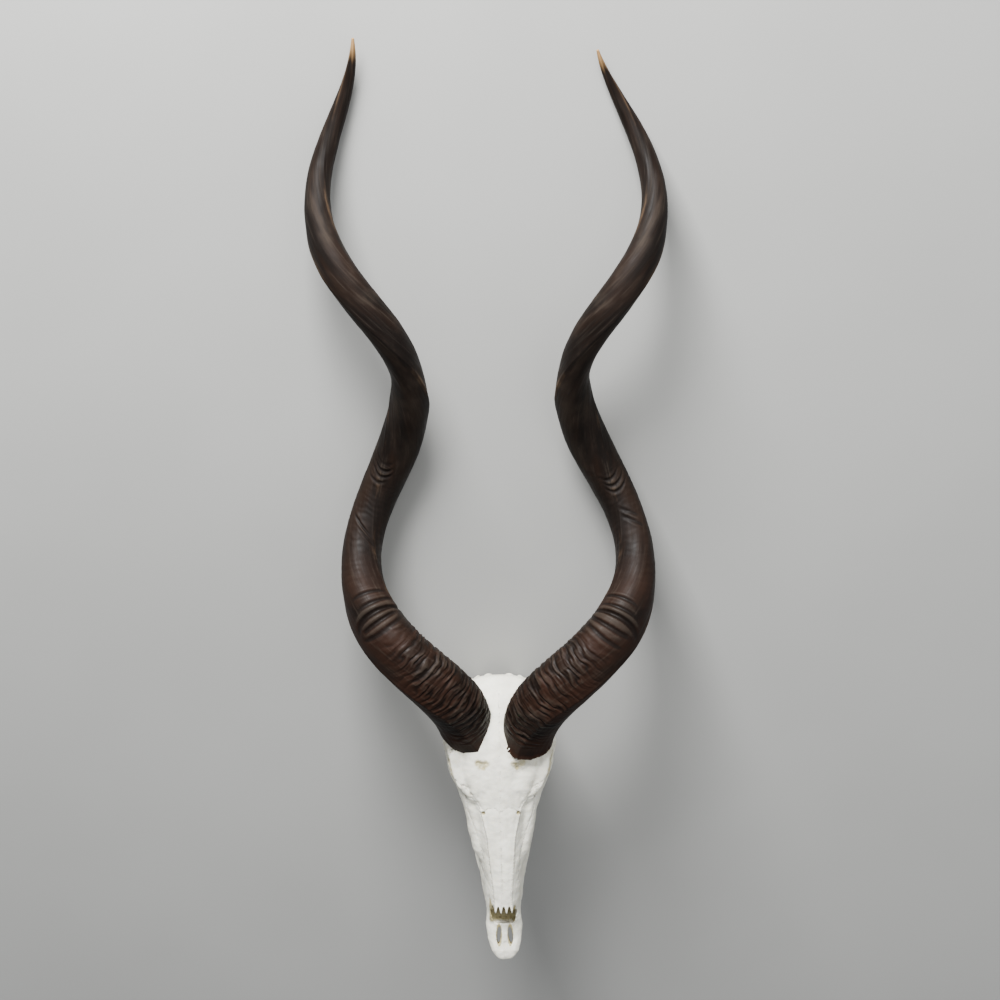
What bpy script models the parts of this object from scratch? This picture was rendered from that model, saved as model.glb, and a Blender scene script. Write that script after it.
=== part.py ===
"""A greater kudu bull's skull with both horn sheaths, resting on its back bends.

Run it with  blender --background --python part.py  or from Blender's text editor.

Everything is modelled in the skull's own frame, in millimetres, and scaled to metres when an
object is made: X points to the animal's left, Y from the nose to the back of the skull and on
towards the horn tips, Z away from the palate. Y is 0 at the back of the braincase and Z is 0 on
the palate. One empty then leans the whole animal back into the pose in which it rests.
"""

import math
from dataclasses import dataclass

import bmesh
import bpy
import numpy as np
from mathutils import Matrix, Vector

MM = 0.001
OBJECT_NAME = "kudu_skull_with_horns"
TOUCH_GAP = 0.3  # left between pieces that touch

# Rest pose: nose up about X, then a slight roll about Y, because the horns are not twins.
REST_TILT = math.radians(30.26)
REST_ROLL = math.radians(-0.2)

# Horns: an open, flared spiral whose axis rises from the palate's plane.
HORN_RISE = math.radians(25.0)
HORN_SIDES = 14
HORN_RINGS = 44
SEAT_RINGS = 11  # how many of them, from the root up, the skull makes room for
COIL_KNOTS = (0.0, 0.2, 0.45, 0.75, 1.0)
GIRTH_KNOTS = (0.0, 0.1, 0.2, 0.3, 0.45, 0.6, 0.75, 0.85, 0.95, 1.0)
HORN_FLATNESS = (0.93, 1.09)  # half the section across the coil, and along it, for a girth of 1
KEEL_LEAD = (math.radians(20.0), math.radians(55.0))  # of the strong keel, at the root and the tip
KEEL_HEIGHTS = (0.13, 0.06)  # the strong keel and the weak one opposite, for a girth of 1
KEEL_WIDTH = 0.32

# Skull
BODY_SIDES = 20
VOXEL = 2.6
SKULL_KEPT = 0.055  # share of the remeshed faces that the decimated skull keeps
SOCKET_DEPTH = 9.0
CROWN_HEIGHT = 9.0


@dataclass(frozen=True)
class Horn:
    """One horn: side is +1 on the animal's left, root is where the spiral's axis starts."""

    name: str
    side: int
    root: tuple
    flare: float
    reach: float
    first_turn: float
    turns: float
    crowding: float
    bow: float
    coil: tuple
    girth: tuple


@dataclass(frozen=True)
class Section:
    """A cross-section of the skull at one Y: its half width and its lowest and highest Z."""

    y: float
    half_width: float
    low: float
    high: float
    square: float = 2.4
    top: float = 1.0


@dataclass(frozen=True)
class Tooth:
    """An upper cheek tooth of the animal's left side: its middle, length and width."""

    name: str
    x: float
    y: float
    length: float
    width: float
    lobes: int


RIGHT_HORN = Horn(
    name="right_horn_sheath",
    side=-1,
    root=(52.8, -70.0, 98.0),
    flare=0.128,
    reach=996.0,
    first_turn=1.042,
    turns=1.72,
    crowding=1.20,
    bow=37.7,
    coil=(11.4, 72.4, 48.9, 46.9, 15.6),
    girth=(35.5, 37.4, 35.1, 27.6, 26.8, 21.6, 20.0, 14.6, 6.8, 1.5),
)
LEFT_HORN = Horn(
    name="left_horn_sheath",
    side=1,
    root=(56.4, -70.7, 102.0),
    flare=0.107,
    reach=970.0,
    first_turn=0.942,
    turns=1.727,
    crowding=1.23,
    bow=37.3,
    coil=(25.8, 79.6, 50.5, 48.2, 32.4),
    girth=(35.5, 37.0, 35.6, 27.4, 26.6, 21.2, 20.3, 15.2, 6.5, 1.5),
)

# From the tip of the premaxilla to the occiput.
BODY = (
    Section(-424, 6.5, 12, 17),
    Section(-420, 12, 10.5, 20),
    Section(-411, 18.8, 9, 23),
    Section(-396, 24.3, 6, 26),
    Section(-370, 28.3, 3, 33),
    Section(-350, 28, 1, 50, top=0.75),
    Section(-336, 28.5, 0, 65, square=2.8, top=0.62),
    Section(-295, 35, -2, 79, square=3.2, top=0.6),
    Section(-255, 42.5, -2, 90, square=3.2, top=0.62),
    Section(-215, 50, -2, 100, square=3.0, top=0.68),
    Section(-185, 51, 0, 109, square=2.8, top=0.82),
    Section(-150, 44, 12, 121, top=1.0),
    Section(-120, 38, 20, 129, top=1.1),
    Section(-90, 40, 22, 132, top=1.0),
    Section(-60, 45, 22, 127, top=0.9),
    Section(-30, 49, 24, 119, top=0.9),
    Section(-14, 47, 34, 111, top=0.95),
    Section(-4, 40, 48, 104, top=1.0),
    Section(2, 29, 62, 97),
    Section(4.5, 16, 70, 90),
)
# The frontal's shelf, which roofs both orbits.
BROW = (
    Section(-190, 38, 78, 98),
    Section(-162, 57, 88, 114),
    Section(-140, 71, 98, 120),
    Section(-122, 75.5, 101, 125),
    Section(-104, 73, 102, 129),
    Section(-84, 62, 100, 130),
    Section(-66, 50, 98, 128),
)
# The lacrimal and jugal plate in front of each orbit.
CHEEK = (
    Section(-222, 36, 26, 84),
    Section(-196, 52, 30, 94, square=2.8),
    Section(-170, 60, 36, 104, square=2.8),
    Section(-152, 65, 42, 108, square=2.8),
    Section(-144, 62, 48, 106, square=2.8),
)
# The nasal passage, open above in front of the nasals.
NASAL_HOLLOW = (
    Section(-368, 13, 24, 44),
    Section(-360, 17, 19, 50),
    Section(-350, 19, 16, 54),
    Section(-341, 19.5, 15, 55),
    Section(-300, 19, 15, 66),
    Section(-262, 16, 20, 66),
    Section(-236, 6, 30, 50),
)
TEETH = (
    Tooth("second_premolar", 27.0, -292.5, 10.0, 8.5, 1),
    Tooth("third_premolar", 29.5, -280.5, 12.5, 10.5, 1),
    Tooth("fourth_premolar", 32.0, -267.5, 12.5, 12.5, 1),
    Tooth("first_molar", 34.5, -252.0, 16.5, 14.0, 2),
    Tooth("second_molar", 36.8, -233.3, 19.5, 15.0, 2),
    Tooth("third_molar", 38.4, -213.0, 20.0, 14.0, 2),
)


def clear_scene():
    """Removes whatever the file starts with."""
    for obj in list(bpy.data.objects):
        bpy.data.objects.remove(obj, do_unlink=True)


def new_collection(name, hidden=False):
    """Makes a collection in the scene; a hidden one holds cutters."""
    collection = bpy.data.collections.new(name)
    bpy.context.scene.collection.children.link(collection)
    collection.hide_render = hidden
    return collection


def new_material(name, colour, roughness):
    """Makes a plain Principled material."""
    material = bpy.data.materials.new(name)
    material.use_nodes = True
    shader = material.node_tree.nodes["Principled BSDF"]
    shader.inputs["Base Color"].default_value = (*colour, 1.0)
    shader.inputs["Roughness"].default_value = roughness
    material.diffuse_color = (*colour, 1.0)
    return material


def new_object(name, shape, collection, material=None):
    """Turns a bmesh in millimetres into an object in metres."""
    bmesh.ops.scale(shape, vec=(MM, MM, MM), verts=shape.verts)
    bmesh.ops.recalc_face_normals(shape, faces=shape.faces)
    mesh = bpy.data.meshes.new(name)
    shape.to_mesh(mesh)
    shape.free()
    obj = bpy.data.objects.new(name, mesh)
    collection.objects.link(obj)
    if material:
        mesh.materials.append(material)
        mesh.shade_smooth()
    else:
        obj.hide_render = True
        obj.display_type = "WIRE"
    return obj


def skin(shape, rings):
    """Lofts a closed skin over rings that all have the same number of points."""
    loops = [[shape.verts.new(point) for point in ring] for ring in rings]
    count = len(loops[0])
    for near, far in zip(loops, loops[1:]):
        for i in range(count):
            j = (i + 1) % count
            shape.faces.new((near[i], near[j], far[j], far[i]))
    shape.faces.new(loops[0])
    shape.faces.new(loops[-1])


def section_ring(section, sides=BODY_SIDES):
    """The outline of a skull section, a superellipse that narrows or widens towards its top."""
    ring = []
    middle = (section.low + section.high) / 2
    half_height = (section.high - section.low) / 2
    for i in range(sides):
        angle = 2 * math.pi * i / sides
        c, s = math.cos(angle), math.sin(angle)
        across = math.copysign(abs(c) ** (2 / section.square), c)
        up = math.copysign(abs(s) ** (2 / section.square), s)
        taper = 1 + (section.top - 1) * (up + 1) / 2
        x = section.half_width * across * taper
        ring.append((x, section.y, middle + half_height * up))
    return ring


def add_sections(shape, sections):
    """Adds a loft through skull sections."""
    skin(shape, [section_ring(section) for section in sections])


def add_ball(shape, centre, radii, turn=0.0):
    """Adds an ellipsoid, turned about Z."""
    place = Matrix.Translation(centre) @ Matrix.Rotation(turn, 4, "Z")
    place = place @ Matrix.Diagonal((*radii, 1.0))
    bmesh.ops.create_uvsphere(shape, u_segments=20, v_segments=12, radius=1.0, matrix=place)


def add_tube(shape, stations, sides=12):
    """Adds a bent, tapering rod through stations of (x, y, z, radius)."""
    points = [Vector(station[:3]) for station in stations]
    rings = []
    for i, station in enumerate(stations):
        along = (points[min(i + 1, len(points) - 1)] - points[max(i - 1, 0)]).normalized()
        turn = along.to_track_quat("Z", "Y").to_matrix()
        ring = []
        for k in range(sides):
            angle = 2 * math.pi * k / sides
            spoke = Vector((math.cos(angle), math.sin(angle), 0.0)) * station[3]
            ring.append(points[i] + turn @ spoke)
        rings.append(ring)
    skin(shape, rings)


def add_torus(shape, centre, radii, thickness, facing, sides=24, tube_sides=10):
    """Adds a ring whose hole faces along `facing`; radii are its Y and Z half sizes."""
    turn = Vector((1.0, 0.0, 0.0)).rotation_difference(Vector(facing)).to_matrix()
    grid = []
    for i in range(sides):
        around = 2 * math.pi * i / sides
        out = Vector((0.0, math.cos(around) * radii[0], math.sin(around) * radii[1]))
        loop = []
        for k in range(tube_sides):
            roll = 2 * math.pi * k / tube_sides
            spoke = out.normalized() * math.cos(roll) + Vector((math.sin(roll), 0.0, 0.0))
            loop.append(shape.verts.new(Vector(centre) + turn @ (out + spoke * thickness)))
        grid.append(loop)
    for i in range(sides):
        near, far = grid[i], grid[(i + 1) % sides]
        for k in range(tube_sides):
            j = (k + 1) % tube_sides
            shape.faces.new((near[k], near[j], far[j], far[k]))


def smooth_through(knots, values, s):
    """Reads a natural cubic spline through the knots at every s."""
    knots, values = np.array(knots), np.array(values)
    step = np.diff(knots)
    system, slopes = np.eye(len(knots)), np.zeros(len(knots))
    for i in range(1, len(knots) - 1):
        system[i, i - 1 : i + 2] = step[i - 1], 2 * (step[i - 1] + step[i]), step[i]
        rise = (values[i + 1] - values[i]) / step[i] - (values[i] - values[i - 1]) / step[i - 1]
        slopes[i] = 6 * rise
    curl = np.linalg.solve(system, slopes)
    i = np.clip(np.searchsorted(knots, s) - 1, 0, len(step) - 1)
    before, after, h = s - knots[i], knots[i + 1] - s, step[i]
    return (
        (curl[i] * after**3 + curl[i + 1] * before**3) / (6 * h)
        + (values[i] / h - curl[i] * h / 6) * after
        + (values[i + 1] / h - curl[i + 1] * h / 6) * before
    )


def unit(rows):
    """Scales every row to length 1."""
    return rows / np.linalg.norm(rows, axis=-1, keepdims=True)


def horn_spine(horn, s):
    """The horn's centre line at every s from 0 to 1, and the way out of its coil there."""
    reach_way = np.array((horn.side * math.sin(horn.flare), 0.0, 0.0))
    reach_way[1] = math.cos(horn.flare) * math.cos(HORN_RISE)
    reach_way[2] = math.cos(horn.flare) * math.sin(HORN_RISE)
    outward = unit(np.array((horn.side, 0.0, 0.0)) - reach_way * reach_way[0] * horn.side)
    upward = np.cross(outward, reach_way) * horn.side
    turn = horn.first_turn + 2 * math.pi * horn.turns * s**horn.crowding
    spoke = np.outer(-np.cos(turn), outward) + np.outer(np.sin(turn), upward)
    coil = smooth_through(COIL_KNOTS, horn.coil, s)
    root = np.array((horn.side * horn.root[0], *horn.root[1:]))
    bow = horn.bow * 4 * s * (1 - s)
    spine = root + np.outer(horn.reach * s, reach_way) + spoke * coil[:, None]
    return spine + np.outer(bow, outward), spoke


def horn_rings(horn, s, swell=0.0):
    """The outlines of the horn at every s, each an oval with a strong and a weak keel."""
    spine, spoke = horn_spine(horn, s)
    nudge = 0.002
    before = np.maximum(s - nudge, 0.0)
    along = unit(horn_spine(horn, s + nudge)[0] - horn_spine(horn, before)[0])
    out = unit(spoke - along * np.sum(spoke * along, axis=1, keepdims=True))
    across = np.cross(along, out) * horn.side
    girth = smooth_through(GIRTH_KNOTS, horn.girth, s)
    lead = KEEL_LEAD[0] + (KEEL_LEAD[1] - KEEL_LEAD[0]) * s
    towards_tip = np.clip((s - 0.75) / 0.25, 0.0, 1.0)
    thick = [flat + (1 - flat) * towards_tip for flat in HORN_FLATNESS]
    rings = np.zeros((len(s), HORN_SIDES, 3))
    for k in range(HORN_SIDES):
        from_keel = 2 * math.pi * k / HORN_SIDES
        angle = lead + from_keel
        oval = 1 / np.sqrt((np.cos(angle) / thick[0]) ** 2 + (np.sin(angle) / thick[1]) ** 2)
        to_strong = min(from_keel, 2 * math.pi - from_keel)
        to_weak = abs(from_keel - math.pi)
        keels = KEEL_HEIGHTS[0] * math.exp(-to_strong / KEEL_WIDTH)
        keels += KEEL_HEIGHTS[1] * math.exp(-to_weak / KEEL_WIDTH)
        radius = (girth * oval * (1 + keels) + swell)[:, None]
        spokes = np.cos(angle)[:, None] * out + np.sin(angle)[:, None] * across
        rings[:, k] = spine + radius * spokes
    return rings, spine, along


def build_horn(horn, collection, material):
    """One horn sheath, flat at its root and rounded at its tip."""
    shape = bmesh.new()
    rings, _, _ = horn_rings(horn, np.linspace(0.0, 1.0, HORN_RINGS))
    skin(shape, rings.tolist())
    return new_object(horn.name, shape, collection, material)


def build_horn_seat(horn, collection):
    """The cutter that makes room for a horn's root, with the touching gap all round."""
    shape = bmesh.new()
    stations = np.linspace(0.0, 1.0, HORN_RINGS)[:SEAT_RINGS]
    rings, _, along = horn_rings(horn, stations, swell=TOUCH_GAP)
    rings[0] -= along[0] * TOUCH_GAP
    skin(shape, rings.tolist())
    return new_object("seat_of_" + horn.name, shape, collection)


def add_pedicle(shape, horn):
    """The stub of bone that carries a horn, ending inside the horn's seat."""
    _, spine, along = horn_rings(horn, np.array((0.0, 0.01)))
    root, rise = Vector(spine[0]), Vector(along[0])
    foot = root - rise * 34 + Vector((-horn.side * 6.0, -4.0, 0.0))
    stations = [(*foot, 36.0), (*(root - rise * 12), 34.5), (*(root + rise * 3), 32.5)]
    add_tube(shape, stations, sides=24)


def add_both(shape, add, *stations, **options):
    """Adds the same tube on the left and on the right."""
    for side in (1, -1):
        add(shape, [(side * x, y, z, r) for x, y, z, r in stations], **options)


def add_skull_lumps(shape):
    """Fills a bmesh with the overlapping solids that make up the skull."""
    add_sections(shape, BODY)
    add_sections(shape, BROW)
    add_sections(shape, CHEEK)
    for horn in (RIGHT_HORN, LEFT_HORN):
        add_pedicle(shape, horn)
    for side in (1, -1):
        add_torus(shape, (side * 69, -121, 80), (28, 27), 5.5, (side * 0.94, -0.28, 0.12))
        add_ball(shape, (side * 14.5, -12, 33), (11, 12, 14))
        add_ball(shape, (side * 24, -38, 20), (10, 15, 13))
        add_ball(shape, (side * 40, -21, 58), (10, 16, 24))
    # Cheek: the zygomatic arch from the maxilla, under the orbit, back to the braincase.
    add_both(
        shape,
        add_tube,
        (34, -238, 36, 11),
        (46, -204, 38, 13),
        (58, -170, 42, 12),
        (69, -134, 50, 7.5),
        (71, -100, 55, 6.5),
        (64, -70, 58, 7),
        (50, -46, 58, 10),
        (38, -34, 56, 12),
    )
    # The bar of bone behind the orbit.
    add_both(shape, add_tube, (66, -92, 112, 7), (72, -90, 88, 5.5), (70, -94, 58, 6))
    # The ridges that carry the teeth.
    add_both(
        shape,
        add_tube,
        (22, -318, 8, 5),
        (26, -296, 5, 7.5),
        (31, -266, 5, 9.5),
        (35, -236, 6, 10.5),
        (37, -208, 7, 10.5),
        (36, -188, 13, 8),
    )
    # The spikes behind the condyles, and the wings behind the palate.
    add_both(shape, add_tube, (34, -16, 44, 9), (32, -12, 14, 6), (30, -9, -8, 3.5))
    add_both(shape, add_tube, (17, -168, 16, 5), (17, -140, 8, 3.6), (15, -122, 10, 3))
    # The forked tips of the nasals.
    add_both(shape, add_tube, (11, -322, 61.5, 4), (11.7, -349, 58.6, 2.4))
    add_both(shape, add_tube, (4.5, -322, 63.5, 4), (4, -348, 60.8, 2.4))


def build_hollows(collection):
    """The cutters for every opening in the skull."""
    hollows = {}

    def start(name):
        hollows[name] = bmesh.new()
        return hollows[name]

    add_sections(start("nasal_passage"), NASAL_HOLLOW)
    for side, word in ((1, "left"), (-1, "right")):
        add_ball(start(word + "_orbit"), (side * 63, -121, 80), (36, 24, 23))
        slot = start(word + "_palatine_fissure")
        add_ball(slot, (side * 8.7, -386, 16), (3.6, 16, 40), turn=side * math.radians(5))
        add_ball(start(word + "_infraorbital_foramen"), (side * 37, -283, 34), (9, 7, 4))
        add_ball(start(word + "_ear"), (side * 52, -30, 44), (11, 4.5, 4.5))
    add_ball(start("palate_vault"), (0, -262, -4), (19, 92, 9))
    add_ball(start("choana"), (0, -146, 10), (13, 42, 17))
    add_tube(start("foramen_magnum"), [(0, 26, 33, 13), (0, -8, 41, 13), (0, -36, 50, 11)], 20)
    return [new_object(name, shape, collection) for name, shape in hollows.items()]


def tooth_outline(tooth, side, grow=0.0):
    """The grinding outline of a tooth: one rounded lobe, or two with a waist between them."""
    points = []
    steps = 16
    for i in range(steps):
        angle = 2 * math.pi * i / steps
        c, s = math.cos(angle), math.sin(angle)
        along = math.copysign(abs(s) ** 0.6, s) * (tooth.length / 2 + grow)
        waist = 1.0 - (0.14 * math.exp(-((s / 0.3) ** 2)) if tooth.lobes == 2 else 0.0)
        across = math.copysign(abs(c) ** 0.6, c) * (tooth.width / 2 * waist + grow)
        points.append((side * tooth.x + across, tooth.y + along))
    return points


def build_tooth(tooth, side, word, collection, material):
    """A cheek tooth, crown and root in one."""
    shape = bmesh.new()
    levels = ((-CROWN_HEIGHT, -0.5), (-CROWN_HEIGHT + 1.5, 0.0), (-1.0, 0.0), (SOCKET_DEPTH, -0.8))
    rings = []
    for z, grow in levels:
        rings.append([(x, y, z) for x, y in tooth_outline(tooth, side, grow)])
    skin(shape, rings)
    return new_object(f"{word}_{tooth.name}", shape, collection, material)


def build_socket(tooth, side, word, collection):
    """The cutter for a tooth's socket, larger than the root by the touching gap."""
    shape = bmesh.new()
    levels = ((-CROWN_HEIGHT - 12.0, 0.0), (-1.0, 0.0), (SOCKET_DEPTH + TOUCH_GAP, -0.8))
    rings = []
    for z, grow in levels:
        rings.append([(x, y, z) for x, y in tooth_outline(tooth, side, grow + TOUCH_GAP)])
    skin(shape, rings)
    return new_object(f"socket_of_{word}_{tooth.name}", shape, collection)


def cut(obj, cutters):
    """Takes every cutter out of the object."""
    for cutter in cutters:
        modifier = obj.modifiers.new("cut_" + cutter.name, "BOOLEAN")
        modifier.operation = "DIFFERENCE"
        modifier.solver = "EXACT"
        modifier.object = cutter


def build_skull(collection, cutter_collection, material):
    """The skull: lumps grown together, hollowed, thinned out, then fitted to horns and teeth."""
    shape = bmesh.new()
    add_skull_lumps(shape)
    skull = new_object("skull", shape, collection, material)
    grow_together = skull.modifiers.new("grow_together", "REMESH")
    grow_together.mode = "VOXEL"
    grow_together.voxel_size = VOXEL * MM
    soften = skull.modifiers.new("soften", "SMOOTH")
    soften.factor = 0.6
    soften.iterations = 4
    cut(skull, build_hollows(cutter_collection))
    thin_out = skull.modifiers.new("thin_out", "DECIMATE")
    thin_out.ratio = SKULL_KEPT
    seats = [build_horn_seat(horn, cutter_collection) for horn in (RIGHT_HORN, LEFT_HORN)]
    for side, word in ((1, "left"), (-1, "right")):
        seats += [build_socket(tooth, side, word, cutter_collection) for tooth in TEETH]
    cut(skull, seats)
    return skull


def rest(pieces, cutters, collection):
    """Leans everything back and sets it down with its box centred on the origin."""
    pose = bpy.data.objects.new("rest_pose", None)
    collection.objects.link(pose)
    for obj in pieces + cutters:
        obj.parent = pose
    pose.rotation_euler = (-REST_TILT, REST_ROLL, 0.0)
    bpy.context.view_layer.update()
    graph = bpy.context.evaluated_depsgraph_get()
    corners = []
    for obj in pieces:
        ready = obj.evaluated_get(graph)
        corners += [ready.matrix_world @ vertex.co for vertex in ready.data.vertices]
    low = Vector(map(min, zip(*corners)))
    high = Vector(map(max, zip(*corners)))
    pose.location = (-(low.x + high.x) / 2, -(low.y + high.y) / 2, -low.z)


def main():
    """Builds the whole animal part by part."""
    clear_scene()
    parts = new_collection(OBJECT_NAME)
    cutters = new_collection("cutters", hidden=True)
    bone = new_material("bone", (0.80, 0.76, 0.66), 0.6)
    horn_brown = new_material("horn", (0.055, 0.038, 0.028), 0.35)
    enamel = new_material("enamel", (0.70, 0.62, 0.45), 0.35)
    pieces = [build_skull(parts, cutters, bone)]
    pieces += [build_horn(horn, parts, horn_brown) for horn in (RIGHT_HORN, LEFT_HORN)]
    for side, word in ((1, "left"), (-1, "right")):
        pieces += [build_tooth(tooth, side, word, parts, enamel) for tooth in TEETH]
    rest(pieces, list(cutters.objects), parts)


main()
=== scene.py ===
"""The looks of a greater kudu bull's skull with both of its horn sheaths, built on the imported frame.

Every piece is shaped on the bench, in millimetres and in the skull's own frame: X points to the
animal's left, Y from the nose to the back of the skull and on towards the horn tips, Z away from
the palate. Y is 0 at the back of the braincase and Z is 0 on the palate. RestPose then carries a
finished piece, in metres, to where its CAD solid lies.
"""

import logging
import math
from dataclasses import dataclass, field
from enum import Enum
from typing import Any, Iterable, Sequence, Union

import bmesh
import bpy
import numpy as np
from mathutils import Euler, Matrix, Vector, noise
from mathutils.bvhtree import BVHTree


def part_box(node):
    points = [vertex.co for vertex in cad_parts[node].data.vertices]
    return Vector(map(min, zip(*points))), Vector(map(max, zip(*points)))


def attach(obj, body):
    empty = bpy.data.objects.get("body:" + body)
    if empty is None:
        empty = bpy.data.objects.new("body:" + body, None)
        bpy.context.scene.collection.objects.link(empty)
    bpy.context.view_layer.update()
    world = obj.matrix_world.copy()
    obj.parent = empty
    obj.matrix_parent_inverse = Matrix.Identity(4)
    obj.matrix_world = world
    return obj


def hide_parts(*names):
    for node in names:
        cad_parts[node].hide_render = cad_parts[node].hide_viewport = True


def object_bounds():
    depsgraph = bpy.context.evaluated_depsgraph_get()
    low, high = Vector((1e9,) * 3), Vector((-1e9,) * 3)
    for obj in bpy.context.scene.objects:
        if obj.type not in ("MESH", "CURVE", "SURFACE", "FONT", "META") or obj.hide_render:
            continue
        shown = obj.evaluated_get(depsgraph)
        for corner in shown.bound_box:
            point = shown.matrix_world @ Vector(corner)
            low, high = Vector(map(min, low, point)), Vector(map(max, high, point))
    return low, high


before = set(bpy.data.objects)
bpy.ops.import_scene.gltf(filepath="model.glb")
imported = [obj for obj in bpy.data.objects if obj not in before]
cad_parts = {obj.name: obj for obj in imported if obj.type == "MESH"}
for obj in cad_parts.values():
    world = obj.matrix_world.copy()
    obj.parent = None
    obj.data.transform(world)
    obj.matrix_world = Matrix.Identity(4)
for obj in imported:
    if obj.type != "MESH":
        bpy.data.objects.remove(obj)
CAD_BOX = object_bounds()

LOG = logging.getLogger("kudu")
MM = 0.001
BODY = "root"

Array = np.ndarray
Colour = tuple[float, float, float]
Point = tuple[float, float, float]
Place = tuple[float, float]


class Slot(Enum):
    """The record's material slots."""

    BONE = "bone"
    HORN = "horn"
    ENAMEL = "enamel"


class Side(Enum):
    """A side of the animal; the value is the sign of X there."""

    LEFT = 1
    RIGHT = -1

    @property
    def word(self) -> str:
        """The side's name in a node's name."""
        return self.name.lower()


class Face(Enum):
    """Which way the bone faces where a mark lies; the value is the sign of its normal's Z."""

    TOP = 1
    UNDER = -1


# ---------------------------------------------------------------- numbers


def ease(value: Any, low: float, high: float) -> Any:
    """Climbs smoothly from 0 at low to 1 at high.

    Args:
        value: A number or an array.
        low: Where the climb starts.
        high: Where it ends; it may be lower than low.

    Returns:
        The eased share, shaped as value.
    """
    share = np.clip((value - low) / (high - low), 0.0, 1.0)
    return share * share * (3 - 2 * share)


def unit(rows: Array) -> Array:
    """Scales every row to length 1."""
    return rows / np.linalg.norm(rows, axis=-1, keepdims=True)


def wrapped(angle: Array) -> Array:
    """Brings angles between minus pi and pi."""
    return (angle + math.pi) % (2 * math.pi) - math.pi


def smooth_through(knots: Sequence[float], values: Sequence[float], s: Array) -> Array:
    """Reads a natural cubic spline.

    Args:
        knots: Where the spline's values are given.
        values: The values there.
        s: Where to read it.

    Returns:
        The spline's value at every s.
    """
    knots, values = np.array(knots), np.array(values)
    step = np.diff(knots)
    system, slopes = np.eye(len(knots)), np.zeros(len(knots))
    for i in range(1, len(knots) - 1):
        system[i, i - 1 : i + 2] = step[i - 1], 2 * (step[i - 1] + step[i]), step[i]
        rise = (values[i + 1] - values[i]) / step[i] - (values[i] - values[i - 1]) / step[i - 1]
        slopes[i] = 6 * rise
    curl = np.linalg.solve(system, slopes)
    i = np.clip(np.searchsorted(knots, s) - 1, 0, len(step) - 1)
    before, after, h = s - knots[i], knots[i + 1] - s, step[i]
    return (
        (curl[i] * after**3 + curl[i + 1] * before**3) / (6 * h)
        + (values[i] / h - curl[i] * h / 6) * after
        + (values[i + 1] / h - curl[i + 1] * h / 6) * before
    )


def rough(points: Array, grain: float, seed: float) -> Array:
    """Gradient noise.

    Args:
        points: Rows of coordinates.
        grain: The size of a lump, in the points' unit.
        seed: Moves the pattern to another part of the noise.

    Returns:
        One value a row, roughly from -1 to 1.
    """
    rows = (points / grain + seed).tolist()
    return np.array([noise.noise(row) for row in rows])


def to_path(points: Array, path: Array) -> Array:
    """How far each point is from a path of straight runs."""
    nearest = np.full(len(points), 1e9)
    for start, end in zip(path, path[1:]):
        run = end - start
        share = np.clip((points - start) @ run / (run @ run), 0.0, 1.0)
        gap = points - start - share[:, None] * run
        nearest = np.minimum(nearest, np.linalg.norm(gap, axis=1))
    return nearest


# ---------------------------------------------------------------- node graphs


class Value:
    """A node's output socket that takes part in arithmetic."""

    def __init__(self, graph: "Graph", socket: bpy.types.NodeSocket) -> None:
        """Holds the socket and the graph that new nodes go into."""
        self.graph = graph
        self.socket = socket

    def __add__(self, other: "Term") -> "Value":
        """This plus other."""
        return self.graph.math("ADD", self, other)

    def __sub__(self, other: "Term") -> "Value":
        """This less other."""
        return self.graph.math("SUBTRACT", self, other)

    def __rsub__(self, other: "Term") -> "Value":
        """Other less this."""
        return self.graph.math("SUBTRACT", other, self)

    def __mul__(self, other: "Term") -> "Value":
        """This times other."""
        return self.graph.math("MULTIPLY", self, other)

    def __truediv__(self, other: "Term") -> "Value":
        """This divided by other."""
        return self.graph.math("DIVIDE", self, other)

    def __abs__(self) -> "Value":
        """This without its sign."""
        return self.graph.math("ABSOLUTE", self)

    __radd__ = __add__
    __rmul__ = __mul__


Term = Union[Value, float]


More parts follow.
